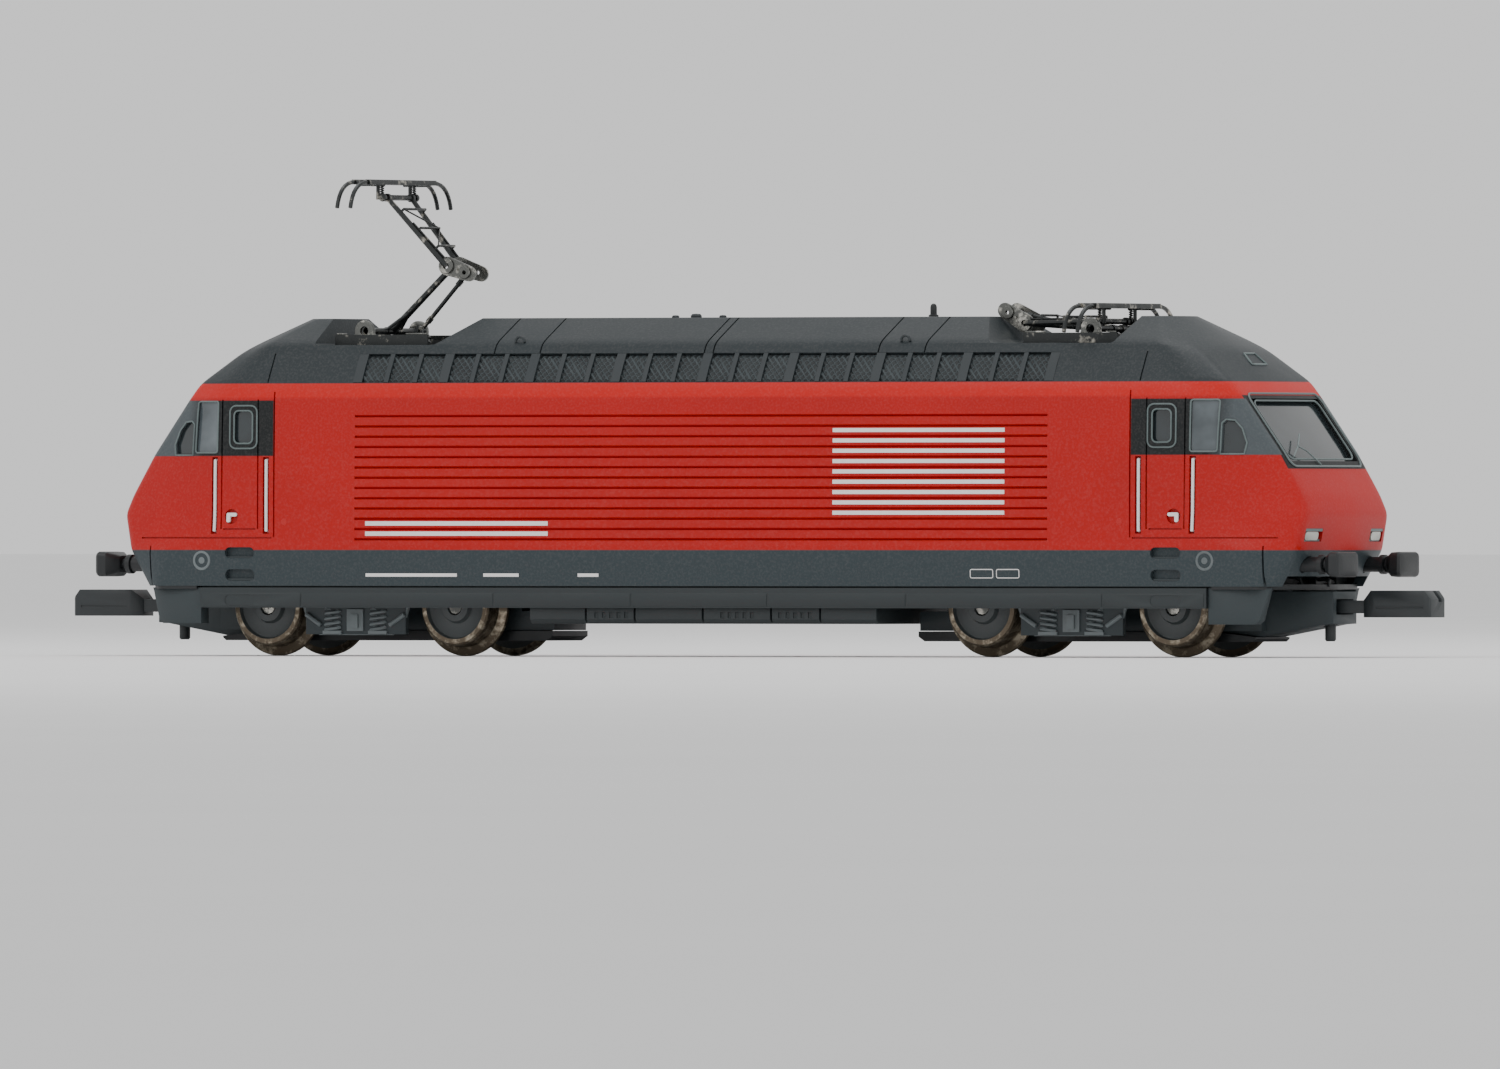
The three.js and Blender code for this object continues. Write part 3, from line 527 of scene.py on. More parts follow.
# ------------------------------------------------------------------ body surface
def rounded_levels(levels, reach=0.3):
    """The levels with a short curve in place of each corner of the section."""
    rows = [levels[0]]
    for before, here, after in zip(levels, levels[1:], levels[2:]):
        back = min(reach, (here[0] - before[0]) * 0.45) / (here[0] - before[0])
        ahead = min(reach, (after[0] - here[0]) * 0.45) / (after[0] - here[0])
        start = here + (before - here) * back
        end = here + (after - here) * ahead
        for t in (0.0, 0.33, 0.67, 1.0):
            rows.append(curve(start, here, end, t))
    rows.append(levels[-1])
    return np.array(rows)


SMOOTH_LEVELS = rounded_levels(BODY_LEVELS)


def level_at(z):
    zs = SMOOTH_LEVELS[:, 0]
    return [float(np.interp(z, zs, SMOOTH_LEVELS[:, k])) for k in range(1, 6)]


def quarter_outline(level, inset=0.0, nose_inset=0.0):
    """From the middle of the nose round the cab corner to the start of the taper."""
    side, taper, corner_x, corner_y, nose = level
    side, corner_y = side - inset, corner_y - inset
    corner_x, nose = corner_x - nose_inset, nose - nose_inset
    points = [(nose - (nose - corner_x) * t * t, corner_y * t) for t in np.linspace(0, 0.9, 9)]
    start = Vector(points[-1])
    corner = Vector((corner_x, corner_y))
    toward = Vector((taper, side)) - corner
    end = corner + toward.normalized() * 0.55
    for t in (0.25, 0.5, 0.75, 1.0):
        points.append(tuple(curve(start, corner, end, t)))
    bulge = Vector((taper + (corner_x - taper) * 0.42, side - 0.12))
    for t in (0.25, 0.5, 0.75, 1.0):
        points.append(tuple(curve(end, bulge, Vector((taper, side)), t)))
    return points


def body_loft(levels, inset=0.0, nose_inset=0.0):
    rings = []
    for z, *level in levels:
        quarter = quarter_outline(level, inset, nose_inset)
        half = quarter + [(-x, y) for x, y in reversed(quarter)]
        ring = half + [(x, -y) for x, y in reversed(half[1:-1])]
        rings.append([(x, y, z) for x, y in ring])
    return ring_surface(rings)


def side_y(x, z):
    """Half width of the body at one place of its side."""
    level = level_at(z)
    if abs(x) <= level[1]:
        return level[0]
    quarter = quarter_outline(level)[10:]
    xs = [p[0] for p in reversed(quarter)]
    ys = [p[1] for p in reversed(quarter)]
    return float(np.interp(abs(x), xs, ys))


def front_x(y, z):
    """Length of the nose at one place of the cab's front."""
    side, taper, corner_x, corner_y, nose = level_at(z)
    t = min(abs(y) / corner_y, 1.0)
    return nose - (nose - corner_x) * t * t


def on_side(outline, out, side):
    """An outline in X and Z, laid on the body's side."""
    return [(x, side * (side_y(x, z) + out), z) for x, z in outline]


def side_solid(outline, low, high, side):
    """A plate that follows the body's side between two depths, measured outwards."""
    return ring_surface([on_side(outline, low, side), on_side(outline, high, side)])


def at_both_ends(make):
    """What make() gives for the front end, and the same again mirrored to the rear end."""
    return make() + [mirrored(piece, "x") for piece in make()]


def both_ways(make):
    """Four copies: both sides of both ends."""
    return at_both_ends(lambda: [make(side) for side in SIDES])


def side_strip(x0, x1, z0, z1, low, high, side, steps=6):
    """A rectangle on the body's side, split along X so that it follows the taper."""
    xs = np.linspace(x0, x1, steps + 1)
    outline = [(x, z0) for x in xs] + [(x, z1) for x in xs[::-1]]
    rings = [on_side(outline, low, side), on_side(outline, high, side)]
    n = len(outline)
    faces = [(i, (i + 1) % n, (i + 1) % n + n, i + n) for i in range(n)]
    for i in range(steps):
        a, b = i, n - 1 - i
        faces.append((a, b, b - 1, a + 1))
        faces.append((a + n, a + 1 + n, b - 1 + n, b + n))
    return mesh_object(rings[0] + rings[1], faces)


SIDE_WINDOWS = (
    rounded_rect(30.95, 13.1, 1.3, 2.0, 0.3),
    rounded_rect(33.6, 13.1, 1.6, 3.0, 0.15),
    [(34.7, 11.5), (35.95, 11.5), (36.05, 12.1), (35.75, 12.9), (35.35, 13.35), (34.9, 13.4), (34.7, 13.2)],
)


def grille_point(x, along, out, side):
    """A place on the sloped grille band: along runs from 0 at its foot to 1 at its top."""
    y = 6.50 + (5.58 - 6.50) * along
    z = 15.80 + (17.42 - 15.80) * along
    normal = Vector((1.62, 0.92)).normalized()
    return (x, side * (y + normal.x * out), z + normal.y * out)


def section_ring(x, width, out, depth):
    """A thin arch that cuts a groove over the roof at one place of its length."""
    keep = SMOOTH_LEVELS[:, 0] > ROOF_EDGE + 0.2
    rows = SMOOTH_LEVELS[keep]
    outer = [(row[1] + out, row[0] + out * 0.5) for row in rows]
    inner = [(row[1] - depth, row[0] - depth * 0.6) for row in rows]
    ring = outer + [(-y, z) for y, z in reversed(outer)]
    ring += [(-y, z) for y, z in inner] + [(y, z) for y, z in reversed(inner)]
    return prism(ring, x - width / 2, x + width / 2, "x")


def hollow_body():
    """The body's solid with the room inside it, open below."""
    inside = [row for row in SMOOTH_LEVELS if row[0] < CAVITY_SHOULDER]
    inside[0] = np.array((3.0, *inside[0][1:]))
    ceiling = np.array((CAVITY_TOP, 5.4, 30.4, 32.4, 4.6, 33.0))
    return carve(body_loft(SMOOTH_LEVELS), [body_loft(inside + [ceiling], WALL, END_WALL)])


def end_openings():
    """Pantograph well, windscreen and the gap over the coupler, at one end."""
    well = [(16.1, 20.6), (18.5, 18.2), (18.75, 18.03), (19.0, WELL_FLOOR), (26.75, WELL_FLOOR),
            (26.95, 18.1), (27.5, 20.6)]
    return [prism(well, -7, 7, "y"), box(33, 41, -SCREEN_HALF, SCREEN_HALF, SCREEN_LOW, SCREEN_HIGH),
            box(37, 41, -5.2, 5.2, 3, 4.2)]


def rib_grooves():
    grooves = []
    for i in range(RIB_COUNT):
        z = RIB_LOW + i * RIB_PITCH
        y = level_at(z)[0]
        for side in SIDES:
            vee = [(side * (y - RIB_DEPTH), z), (side * (y + CLEAR), z + 0.3),
                   (side * (y + CLEAR), z - 0.14)]
            grooves.append(prism(vee, -RIB_END, RIB_END, "x"))
    return grooves


def cab_grooves():
    """Panel lines of the cab, the channels of the handrails, and the side windows."""
    grooves = []
    for x0, x1, z0, z1, steps in ((28.8, 28.9, 6.5, 15.2, 1), (29.0, 38.3, 6.42, 6.52, 6),
                                  (37.45, 37.55, 3.4, 6.0, 1), (29.35, 29.45, 15.75, 17.5, 1)):
        grooves += both_ways(lambda s: side_strip(x0, x1, z0, z1, -LINE_DEPTH, CLEAR, s, steps))
    for rail in HANDRAILS:
        grooves += both_ways(lambda s: side_strip(rail - 0.2, rail + 0.2, 6.72, 11.3, -0.27, CLEAR, s, 1))
    for window in SIDE_WINDOWS:
        grooves += both_ways(lambda s: side_solid(window, -0.6, 0.4, s))
    return grooves


def grille_recesses():
    corners = ((-0.03, 0.4), (-0.03, -0.3), (1.03, -0.3), (1.03, 0.4))
    section = [grille_point(0, along, out, 1)[1:] for along, out in corners]
    end = GRILLE_END + 0.3
    return [prism([(side * y, z) for y, z in section], -end, end, "x") for side in SIDES]


def door_grooves():
    """Lines round the cab door, the two foot recesses below it and the dish behind its handle."""
    x0, x1 = DOOR
    grooves = []
    for a, b, low, high in ((x0, x0 + LINE, 7.0, 14.75), (x1 - LINE, x1, 7.0, 14.75),
                            (x0 + 0.2, x1 - 0.2, 6.95, 7.05)):
        grooves += both_ways(lambda s: side_strip(a, b, low, high, -LINE_DEPTH, CLEAR, s, 1))
    for z, half in ((5.58, 0.33), (4.25, 0.34)):
        recess = rounded_rect(STEP_X, z, 2.0, 2 * half, half * 0.95)
        grooves += both_ways(lambda s: side_solid(recess, -0.35, 0.4, s))
    dish = arc(31.75, 7.75, 0.45, 0, 2 * math.pi, 17)[:-1]
    return grooves + both_ways(lambda s: side_solid(dish, -0.2, 0.4, s))


def nose_holes():
    """Recesses of the headlights and round holes for the buffer shanks, at one end."""
    holes = []
    for side in SIDES:
        hole = lathe([(0, 37), (0.5, 37), (0.5, 41), (0, 41)], "x", 20)
        holes.append(slab(39.3, 41, side * LAMP_OFFSET, 0.95, 6.25, 7.03))
        holes.append(moved(hole, 0, side * BUFFER_OFFSET, BUFFER_HEIGHT))
    return holes


def roof_and_nose_cuts():
    joints = [section_ring(sign * x, LINE, CLEAR, 0.09) for x in ROOF_JOINTS for sign in (1, -1)]
    return joints + at_both_ends(nose_holes)


def make_shell():
    shell = carve(hollow_body(), at_both_ends(end_openings))
    for cutters in (rib_grooves, cab_grooves, grille_recesses, door_grooves, roof_and_nose_cuts):
        carve(shell, cutters())
    return shell


finish_piece(make_shell(), "painted_shell", "chassis", PAINT, ["body_shell"])


# ------------------------------------------------------------------ cab windows and lamps
def plate(outer, inner):
    """A closed plate between two grids of points, rows by columns."""
    rows, cols = len(outer), len(outer[0])
    shift = rows * cols
    verts = [p for grid in (outer, inner) for row in grid for p in row]
    faces = []
    for r in range(rows - 1):
        for c in range(cols - 1):
            a, b = r * cols + c, (r + 1) * cols + c
            faces.append((a, a + 1, b + 1, b))
            faces.append((a + shift, b + shift, b + 1 + shift, a + 1 + shift))
    edge = list(range(cols)) + [r * cols + cols - 1 for r in range(1, rows)]
    edge += [(rows - 1) * cols + c for c in range(cols - 2, -1, -1)]
    edge += [r * cols for r in range(rows - 2, 0, -1)]
    for a, b in zip(edge, edge[1:] + edge[:1]):
        faces.append((b, a, a + shift, b + shift))
    return mesh_object(verts, faces)


def front_plate(y0, y1, z0, z1, low, high, cols=12, rows=6):
    """A plate that follows the cab's front between two depths."""
    def grid(out):
        return [[(front_x(y, z) + out, y, z) for y in np.linspace(y0, y1, cols)]
                for z in np.linspace(z0, z1, rows)]
    return plate(grid(high), grid(low))


def on_front(outline, out):
    return [(front_x(y, z) + out, y, z) for y, z in outline]


def subdivided(outline, longest=0.35):
    points = []
    for (ax, ay), (bx, by) in zip(outline, outline[1:] + outline[:1]):
        n = max(1, math.ceil(math.hypot(bx - ax, by - ay) / longest))
        points += [(ax + (bx - ax) * i / n, ay + (by - ay) * i / n) for i in range(n)]
    return points


def shrunk(outline, gap):
    """The outline moved towards its middle by about the gap."""
    cx = sum(p[0] for p in outline) / len(outline)
    cz = sum(p[1] for p in outline) / len(outline)
    half_x = max(abs(p[0] - cx) for p in outline)
    half_z = max(abs(p[1] - cz) for p in outline)
    return [(cx + (x - cx) * (1 - gap / half_x), cz + (z - cz) * (1 - gap / half_z)) for x, z in outline]


def at_end(obj, sign):
    """The shape at the front end, or turned round to the rear end."""
    if sign == -1:
        obj.data.transform(Matrix.Rotation(math.pi, 4, "Z"))
    return obj


def make_glazing(sign):
    """The windscreen and the dark panes of the door and quarter windows."""
    half = SCREEN_HALF + 0.3
    parts = [front_plate(-half, half, SCREEN_LOW - 0.25, SCREEN_HIGH + 0.25, -0.75, -0.4)]
    door, _, quarter = SIDE_WINDOWS
    for side in SIDES:
        parts += [side_solid(shrunk(pane, PANE_GAP), -0.45, -0.2, side) for pane in (door, quarter)]
    return at_end(joined(parts), sign)


def make_cab_windows(sign):
    window = shrunk(SIDE_WINDOWS[1], PANE_GAP)
    return at_end(joined([side_solid(window, -0.4, -0.12, side) for side in SIDES]), sign)


def make_trim(sign):
    """Thin raised frames round all the cab windows."""
    screen = rounded_rect(0, (SCREEN_LOW + SCREEN_HIGH) / 2, 2 * SCREEN_HALF, SCREEN_HIGH - SCREEN_LOW, 0.5)
    parts = []
    for gap, radius, out in ((-0.3, 0.07, 0.03), (0.12, 0.06, -0.12)):
        line = on_front(subdivided(shrunk(screen, gap)), out)
        parts.append(tube(line, radius, 6, closed=True))
    door, cab, quarter = SIDE_WINDOWS
    for side in SIDES:
        for window, gap, out in ((door, -0.28, 0.02), (door, 0.02, 0.02), (cab, -0.03, 0.0),
                                 (quarter, -0.08, 0.02)):
            line = on_side(subdivided(shrunk(window, gap)), out, side)
            parts.append(tube(line, 0.055, 6, closed=True))
    return at_end(joined(parts), sign)


def make_wiper(sign):
    blade = [(front_x(y, z) + 0.06, y, z) for y, z in ((-3.9, 11.25), (-2.6, 11.9), (-1.5, 12.6))]
    arm = [(front_x(y, z) + 0.1, y, z) for y, z in ((-1.2, 10.8), (-2.0, 11.6), (-2.7, 11.9))]
    return at_end(joined([tube(blade, 0.05, 6), tube(arm, 0.045, 6)]), sign)


def make_lenses(sign):
    parts = []
    for side in SIDES:
        outline = rounded_rect(side * (LAMP_OFFSET + 0.1), 6.58, 1.45, 0.5, 0.2)
        parts.append(ring_surface([on_front(outline, -0.3), on_front(outline, -0.06)]))
    return at_end(joined(parts), sign)


def make_lamp_hoods(sign):
    """Sills above and below the headlights, and the outline of the small lamp high on the cab."""
    parts = []
    for side in SIDES:
        cy = side * LAMP_OFFSET
        parts.append(front_plate(cy - 0.93, cy + 0.93, 6.85, 7.02, -0.35, -0.02, 5, 2))
        parts.append(front_plate(cy - 0.93, cy + 0.93, 6.26, 6.4, -0.3, -0.12, 5, 2))
    z = 17.05
    line = [(-0.95, z - 0.32), (0.95, z - 0.32), (0.7, z + 0.32), (-0.7, z + 0.32)]
    parts.append(tube(on_front(subdivided(line), 0.03), 0.07, 6, closed=True))
    return at_end(joined(parts), sign)


for end, sign in ENDS:
    finish_piece(make_glazing(sign), f"cab_panes_{end}", "chassis", GLASS,
                 [f"cab_glazing_{end}"])
    finish_piece(make_cab_windows(sign), f"cab_windows_{end}", "chassis", SIDE_GLASS)
    finish_piece(make_trim(sign), f"window_frames_{end}", "chassis", TRIM)
    finish_piece(make_wiper(sign), f"wiper_{end}", "chassis", TRIM)
    finish_piece(make_lenses(sign), f"headlight_lenses_{end}", "chassis", LENS)
    finish_piece(make_lamp_hoods(sign), f"headlight_hoods_{end}", "chassis", TRIM)


# ------------------------------------------------------------------ handrails, door furniture and printing
def make_handrail(x, side):
    bottom, top = 6.9, 11.12
    zs = np.linspace(bottom, top, 9)
    points = [(x, side * (side_y(x, bottom) - 0.3), bottom - 0.02)]
    points += [(x, side * (side_y(x, z) - 0.07), z) for z in zs]
    points.append((x, side * (side_y(x, top) - 0.3), top + 0.02))
    return tube(points, 0.1, 8)


def make_door_handle(side):
    lever = side_solid(rounded_rect(31.72, 7.86, 0.7, 0.22, 0.1, 3), -0.12, 0.03, side)
    grip = side_solid(rounded_rect(31.95, 7.68, 0.24, 0.56, 0.1, 3), -0.12, 0.03, side)
    return welded([lever, grip])


def make_cap(side):
    """Round cap low on the cab's side: a flat disc in a raised ring."""
    ring = lathe([(0.42, 0.0), (0.44, 0.1), (0.58, 0.1), (0.62, 0.0)], "y", 32)
    disc = lathe([(0.0, -0.05), (0.0, 0.09), (0.2, 0.09), (0.24, -0.05)], "y", 32)
    cap = joined([ring, disc])
    if side == -1:
        mirrored(cap, "y")
    x, z = CAP_PLACE
    return moved(cap, x, side * (side_y(x, z) - 0.07), z)


def make_knob(side):
    knob = lathe([(0.0, -0.1), (0.0, 0.09), (0.1, 0.12), (0.2, 0.1), (0.22, -0.1)], "y", 20)
    if side == -1:
        mirrored(knob, "y")
    x, z = KNOB_PLACE
    return moved(knob, x, side * (side_y(x, z) - 0.09), z)


def make_step_treads(side):
    """Two foot rails in the recesses below the cab door."""
    rails = [rounded_rect(STEP_X, z, 1.8, 0.12, 0.05, 2) for z in (5.3, 3.98)]
    return joined([side_solid(rail, -0.3, -0.08, side) for rail in rails])


def print_stripes():
    """Plain white stripes between the grooves, plain lines low on the side and two empty frames."""
    parts = []
    for side in SIDES:
        for i in range(2, 11):
            z = RIB_LOW + (i + 0.5) * RIB_PITCH + 0.07
            parts.append(side_strip(9.0, 20.5, z - 0.12, z + 0.12, -0.02, 0.025, side, 1))
        for x0, x1, z, half in ((-22.6, -10.2, 6.72, 0.13), (-22.6, -10.2, 7.33, 0.13),
                                (-22.6, -16.4, 4.25, 0.1), (-14.6, -12.2, 4.25, 0.1),
                                (-8.2, -6.8, 4.25, 0.1)):
            parts.append(side_strip(x0, x1, z - half, z + half, -0.02, 0.025, side, 1))
        for x0, x1 in ((18.2, 19.7), (19.95, 21.45)):
            outline = rounded_rect((x0 + x1) / 2, 4.35, x1 - x0, 0.5, 0.08, 2)
            parts.append(tube(on_side(outline, 0.0, side), 0.03, 5, closed=True))
    return joined(parts)


finish_piece(joined([p for x in HANDRAILS for p in both_ways(lambda s: make_handrail(x, s))]),
             "handrails", "chassis", WHITE)
finish_piece(joined(both_ways(make_door_handle)), "door_handles", "chassis", WHITE)
finish_piece(joined(both_ways(make_cap)), "skirt_caps", "chassis", BOGIE_GREY, bevel=0.02)
finish_piece(joined(both_ways(make_knob)), "side_knobs", "chassis", RED_KNOB)
finish_piece(joined(both_ways(make_step_treads)), "foot_rails", "chassis", SKIRT)
finish_piece(print_stripes(), "printed_stripes", "chassis", WHITE)


# ------------------------------------------------------------------ roof
def grille_panel(x0, x1, side, across=9, up=10):
    """Fine mesh of small raised points, in staggered rows."""
    def grid(base, point):
        rows = []
        for r in range(up + 1):
            edge_r = r in (0, up)
            rows.append([grille_point(x, r / up, base + (point if (r + c) % 2 and not edge_r else 0), side)
                         for c, x in enumerate(np.linspace(x0, x1, across + 1))])
        return rows
    return plate(grid(-0.2, 0.14), grid(-0.3, 0.0))


def grille_places():
    pitch = 2 * GRILLE_END / (GRILLE_GROUPS * GRILLE_PER_GROUP)
    for i in range(GRILLE_GROUPS * GRILLE_PER_GROUP):
        yield i, -GRILLE_END + i * pitch, pitch


def make_grille():
    return joined([grille_panel(x + 0.14, x + pitch - 0.14, side)
                   for side in SIDES for _, x, pitch in grille_places()])


def make_grille_posts():
    parts = []
    for side in SIDES:
        posts = [(x, 0.3 if i % GRILLE_PER_GROUP == 0 else 0.15) for i, x, _ in grille_places()]
        posts.append((GRILLE_END, 0.3))
        for x, half in posts:
            rings = []
            for px in (x - half, x + half):
                rings.append([grille_point(px, a, o, side) for a, o in
                              ((-0.02, -0.28), (-0.02, 0.0), (0.5, 0.03), (1.02, 0.0), (1.02, -0.28))])
            parts.append(ring_surface(rings))
    return joined(parts)


def make_roof_fittings():
    """Three small domes on the centre line, and lifting eyes where the roof's slope ends."""
    parts = []
    for x, half, high in ((-5.2, 0.22, 0.16), (-3.8, 0.33, 0.25), (-2.0, 0.22, 0.16)):
        profile = [(0.0, -0.05), (half, -0.05), (half, high * 0.5), (half * 0.75, high * 0.9), (0.0, high)]
        parts.append(moved(lathe(profile, "z", 24), x, 0, ROOF_TOP))
    for x in (-13.0, 13.0):
        for side in SIDES:
            eye = [(x + 0.3 * math.cos(a), side * 5.1, 18.15 + 0.32 * math.sin(a))
                   for a in np.linspace(0, math.pi, 9)]
            parts.append(tube(eye, 0.09, 8))
    return joined(parts)


def make_aerial():
    profile = [(0.0, 0.02), (0.3, 0.02), (0.3, 0.1), (0.2, 0.16), (0.2, 0.58), (0.16, 0.72), (0.08, 0.79),
               (0.0, 0.8)]
    return moved(lathe(profile, "z", 24), 12.2, 0, ROOF_TOP)


finish_piece(make_grille(), "roof_grilles", "chassis", GRILLE, smooth=20)
finish_piece(make_grille_posts(), "grille_posts", "chassis", ROOF_PLASTIC)
finish_piece(make_roof_fittings(), "roof_fittings", "chassis", ROOF_PLASTIC)
finish_piece(make_aerial(), "aerial", "chassis", BLACK, ["roof_aerial"])


# ------------------------------------------------------------------ lower frame, box, skirts and buffers
def make_sill_panels():
    """Outer panels of the lower frame, parted by narrow gaps, and a strip behind them."""
    parts = []
    breaks = (-33.8, -27.0, -13.9, -4.6, 4.6, 13.9, 27.0, 33.8)
    section = [(6.55, 2.34), (6.74, 2.34), (6.78, 2.42), (6.78, 3.1), (6.66, 3.46), (6.55, 3.46)]
    for side in SIDES:
        for x0, x1 in zip(breaks, breaks[1:]):
            panel = prism([(side * y, z) for y, z in section], x0 + 0.05, x1 - 0.05, "x")
            if min(abs(x0), abs(x1)) > BOGIE_PIVOT:
                step = rounded_rect(math.copysign(STEP_X, x0), 2.74, 2.0, 0.64, 0.3)
                y0, y1 = sorted((side * 6.6, side * 7.0))
                carve(panel, [prism(step, y0, y1, "y")])
            parts.append(panel)
        parts.append(slab(-36, 36, side * 6.07, 0.08, 3.4, 3.9))
    return joined(parts)


def make_box_sides():
    """Equipment box between the bogies: chamfered below, its sides cut with seams and louvres."""
    section = [(-6.3, 2.36), (6.3, 2.36), (6.3, 2.1), (6.3, 1.62), (6.05, 1.36), (-6.05, 1.36),
               (-6.3, 1.62), (-6.3, 2.1)]
    whole = prism(section, -11.68, 11.68, "x")
    cuts = []
    for x in (-7.9, -4.6, 0.0, 4.6, 7.9):
        cuts += [slab(x - 0.06, x + 0.06, side * 6.2, 0.15, 1.2, 2.4) for side in SIDES]
    for x in (-6.2, 2.3, 6.2):
        for i in range(5):
            x0, x1 = x - 1.1 + i * 0.5, x - 0.85 + i * 0.5
            cuts += [slab(x0, x1, side * 6.3, 0.08, 1.7, 2.05) for side in SIDES]
    return carve(whole, cuts)


def make_front_skirt(sign):
    """Cheeks below the cab, with the risers and the bridge that join them."""
    plan = [(33.95, 5.6), (33.95, 6.55), (35.2, 6.45), (36.2, 6.3), (37.0, 6.05), (37.7, 5.75),
            (37.7, 5.4), (36.4, 5.3)]
    slope = [(33.0, 1.36), (33, 3.5), (37.68, 3.5), (37.6, 3.3), (37.1, 1.6), (36.8, 1.36)]
    parts = []
    for side in SIDES:
        cheek = prism([(x, side * y) for x, y in plan], 1.2, 3.5)
        parts.append(carve(cheek, [prism(slope, -7, 7, "y")], "INTERSECT"))
        parts.append(slab(34.6, 36.4, side * 5.4, 0.32, 3.2, 4.68))
    parts.append(box(34.62, 36.38, -5.28, 5.28, 4.42, 4.68))
    return at_end(welded(parts), sign)


def make_beam_details(sign):
    """Beam behind the front opening, the plate over it, a draw hook and two air hoses."""
    parts = [box(36.5, 37.2, -5.1, 5.1, 3.38, 4.4)]
    edge = [(x, y) for x, y in quarter_outline(level_at(SKIRT_BOTTOM), 0.05, 0.35) if x > 34.2]
    edge.append((34.2, edge[-1][1]))
    parts.append(prism(edge + [(x, -y) for x, y in reversed(edge[1:])], 3.42, 3.72))
    parts.append(box(37.15, 37.9, -0.35, 0.35, 3.75, 4.25))
    hook = [(37.8, 0, 4.0), (38.3, 0, 4.05), (38.6, 0, 3.9), (38.55, 0, 3.7), (38.3, 0, 3.68)]
    parts.append(tube(hook, 0.13, 8))
    for y in (-2.3, 2.3):
        bend = [(37.1, y, 4.15), (37.5, y, 4.18), (37.85, y, 4.0), (37.95, y, 3.75), (37.7, y, 3.66)]
        parts.append(tube(bend, 0.12, 8))
    return at_end(joined(parts), sign)


def make_buffer(sign, side):
    """Wide, slightly domed head with rounded corners on a stepped round shank."""
    face = BUFFER_FACE
    rings = []
    for x, half_y, half_z, corner in ((face - 1.35, 0.6, 0.5, 0.3), (face - 0.75, 1.3, 0.72, 0.3),
                                      (face - 0.25, 1.35, 0.75, 0.28), (face - 0.1, 1.27, 0.68, 0.28),
                                      (face - 0.02, 0.9, 0.45, 0.25)):
        rings.append([(x, y, z) for y, z in rounded_rect(0, 0, 2 * half_y, 2 * half_z, corner)])
    head = ring_surface(rings)
    shank = lathe([(0.0, 38.5), (0.45, 38.5), (0.45, 40.2), (0.34, 40.3), (0.34, face - 1.0),
                   (0.0, face - 1.0)], "x", 24)
    collar = lathe([(0.46, 40.0), (0.58, 40.05), (0.58, 40.35), (0.46, 40.4)], "x", 24)
    buffer = joined([head, shank, collar])
    return at_end(moved(buffer, 0, side * BUFFER_OFFSET, BUFFER_HEIGHT), sign)


finish_piece(make_sill_panels(), "sill_panels", "chassis", SILL_GREY, bevel=0.03)
finish_piece(make_box_sides(), "equipment_casing", "chassis", SILL_GREY,
             ["equipment_box"], bevel=0.03)
for end, sign in ENDS:
    finish_piece(make_front_skirt(sign), f"cheeks_{end}", "chassis", SKIRT,
                 [f"front_skirt_{end}"], bevel=0.04)
    finish_piece(make_beam_details(sign), f"buffer_beam_{end}", "chassis", BLACK)
    for i in (1, 2):
        low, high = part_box(f"buffer_{end}_{i}")
        side = 1 if (low[1] + high[1]) * sign > 0 else -1
        finish_piece(make_buffer(sign, side), f"buffer_head_{end}_{i}", "chassis", BLACK,
                     [f"buffer_{end}_{i}"])


# ------------------------------------------------------------------ bogies, wheels and couplers
SPRING_STEPS = 12
WORM_WHEEL_HEIGHT = 5.1
IDLER_PLACE = (3.341, 3.187)


def bogie_side_parts():
    """Relief of one side: a keel plate, spring seats, a damper, brake rods and the bar above them."""
    inner, outer = 4.95, 5.22
    keel = [(-3.7, 2.6), (-3.3, 1.4), (-2.5, 0.66), (2.5, 0.66), (3.3, 1.4), (3.7, 2.6)]
    parts = [prism(keel, inner, outer - 0.1, "y")]
    for x in (-1.55, 1.55):
        spring = []
        for i in range(4 * SPRING_STEPS + 1):
            a = 2 * math.pi * i / SPRING_STEPS
            z = 0.95 + 1.3 * i / (4 * SPRING_STEPS)
            spring.append((x + 0.5 * math.cos(a), outer - 0.02 + 0.14 * math.sin(a), z))
        parts.append(tube(spring, 0.09, 6))
        parts.append(box(x - 0.62, x + 0.62, inner, outer + 0.1, 0.72, 0.92))
        parts.append(box(x - 0.62, x + 0.62, inner, outer + 0.1, 2.3, 2.5))
    parts.append(box(-0.55, 0.55, inner, outer + 0.05, 0.9, 2.2))
    parts.append(box(-0.25, 0.25, inner, outer + 0.18, 1.1, 1.9))
    for end in (-1, 1):
        parts.append(tube([(end * 3.35, outer, 1.9), (end * 2.35, outer, 1.25)], 0.14, 8))
    parts.append(box(-7.3, 7.3, 4.78, 5.22, 2.55, 3.25))
    return parts


def make_bogie_side(sign):
    far = [mirrored(part, "y") for part in bogie_side_parts()]
    return at_end(moved(joined(bogie_side_parts() + far), BOGIE_PIVOT), sign)


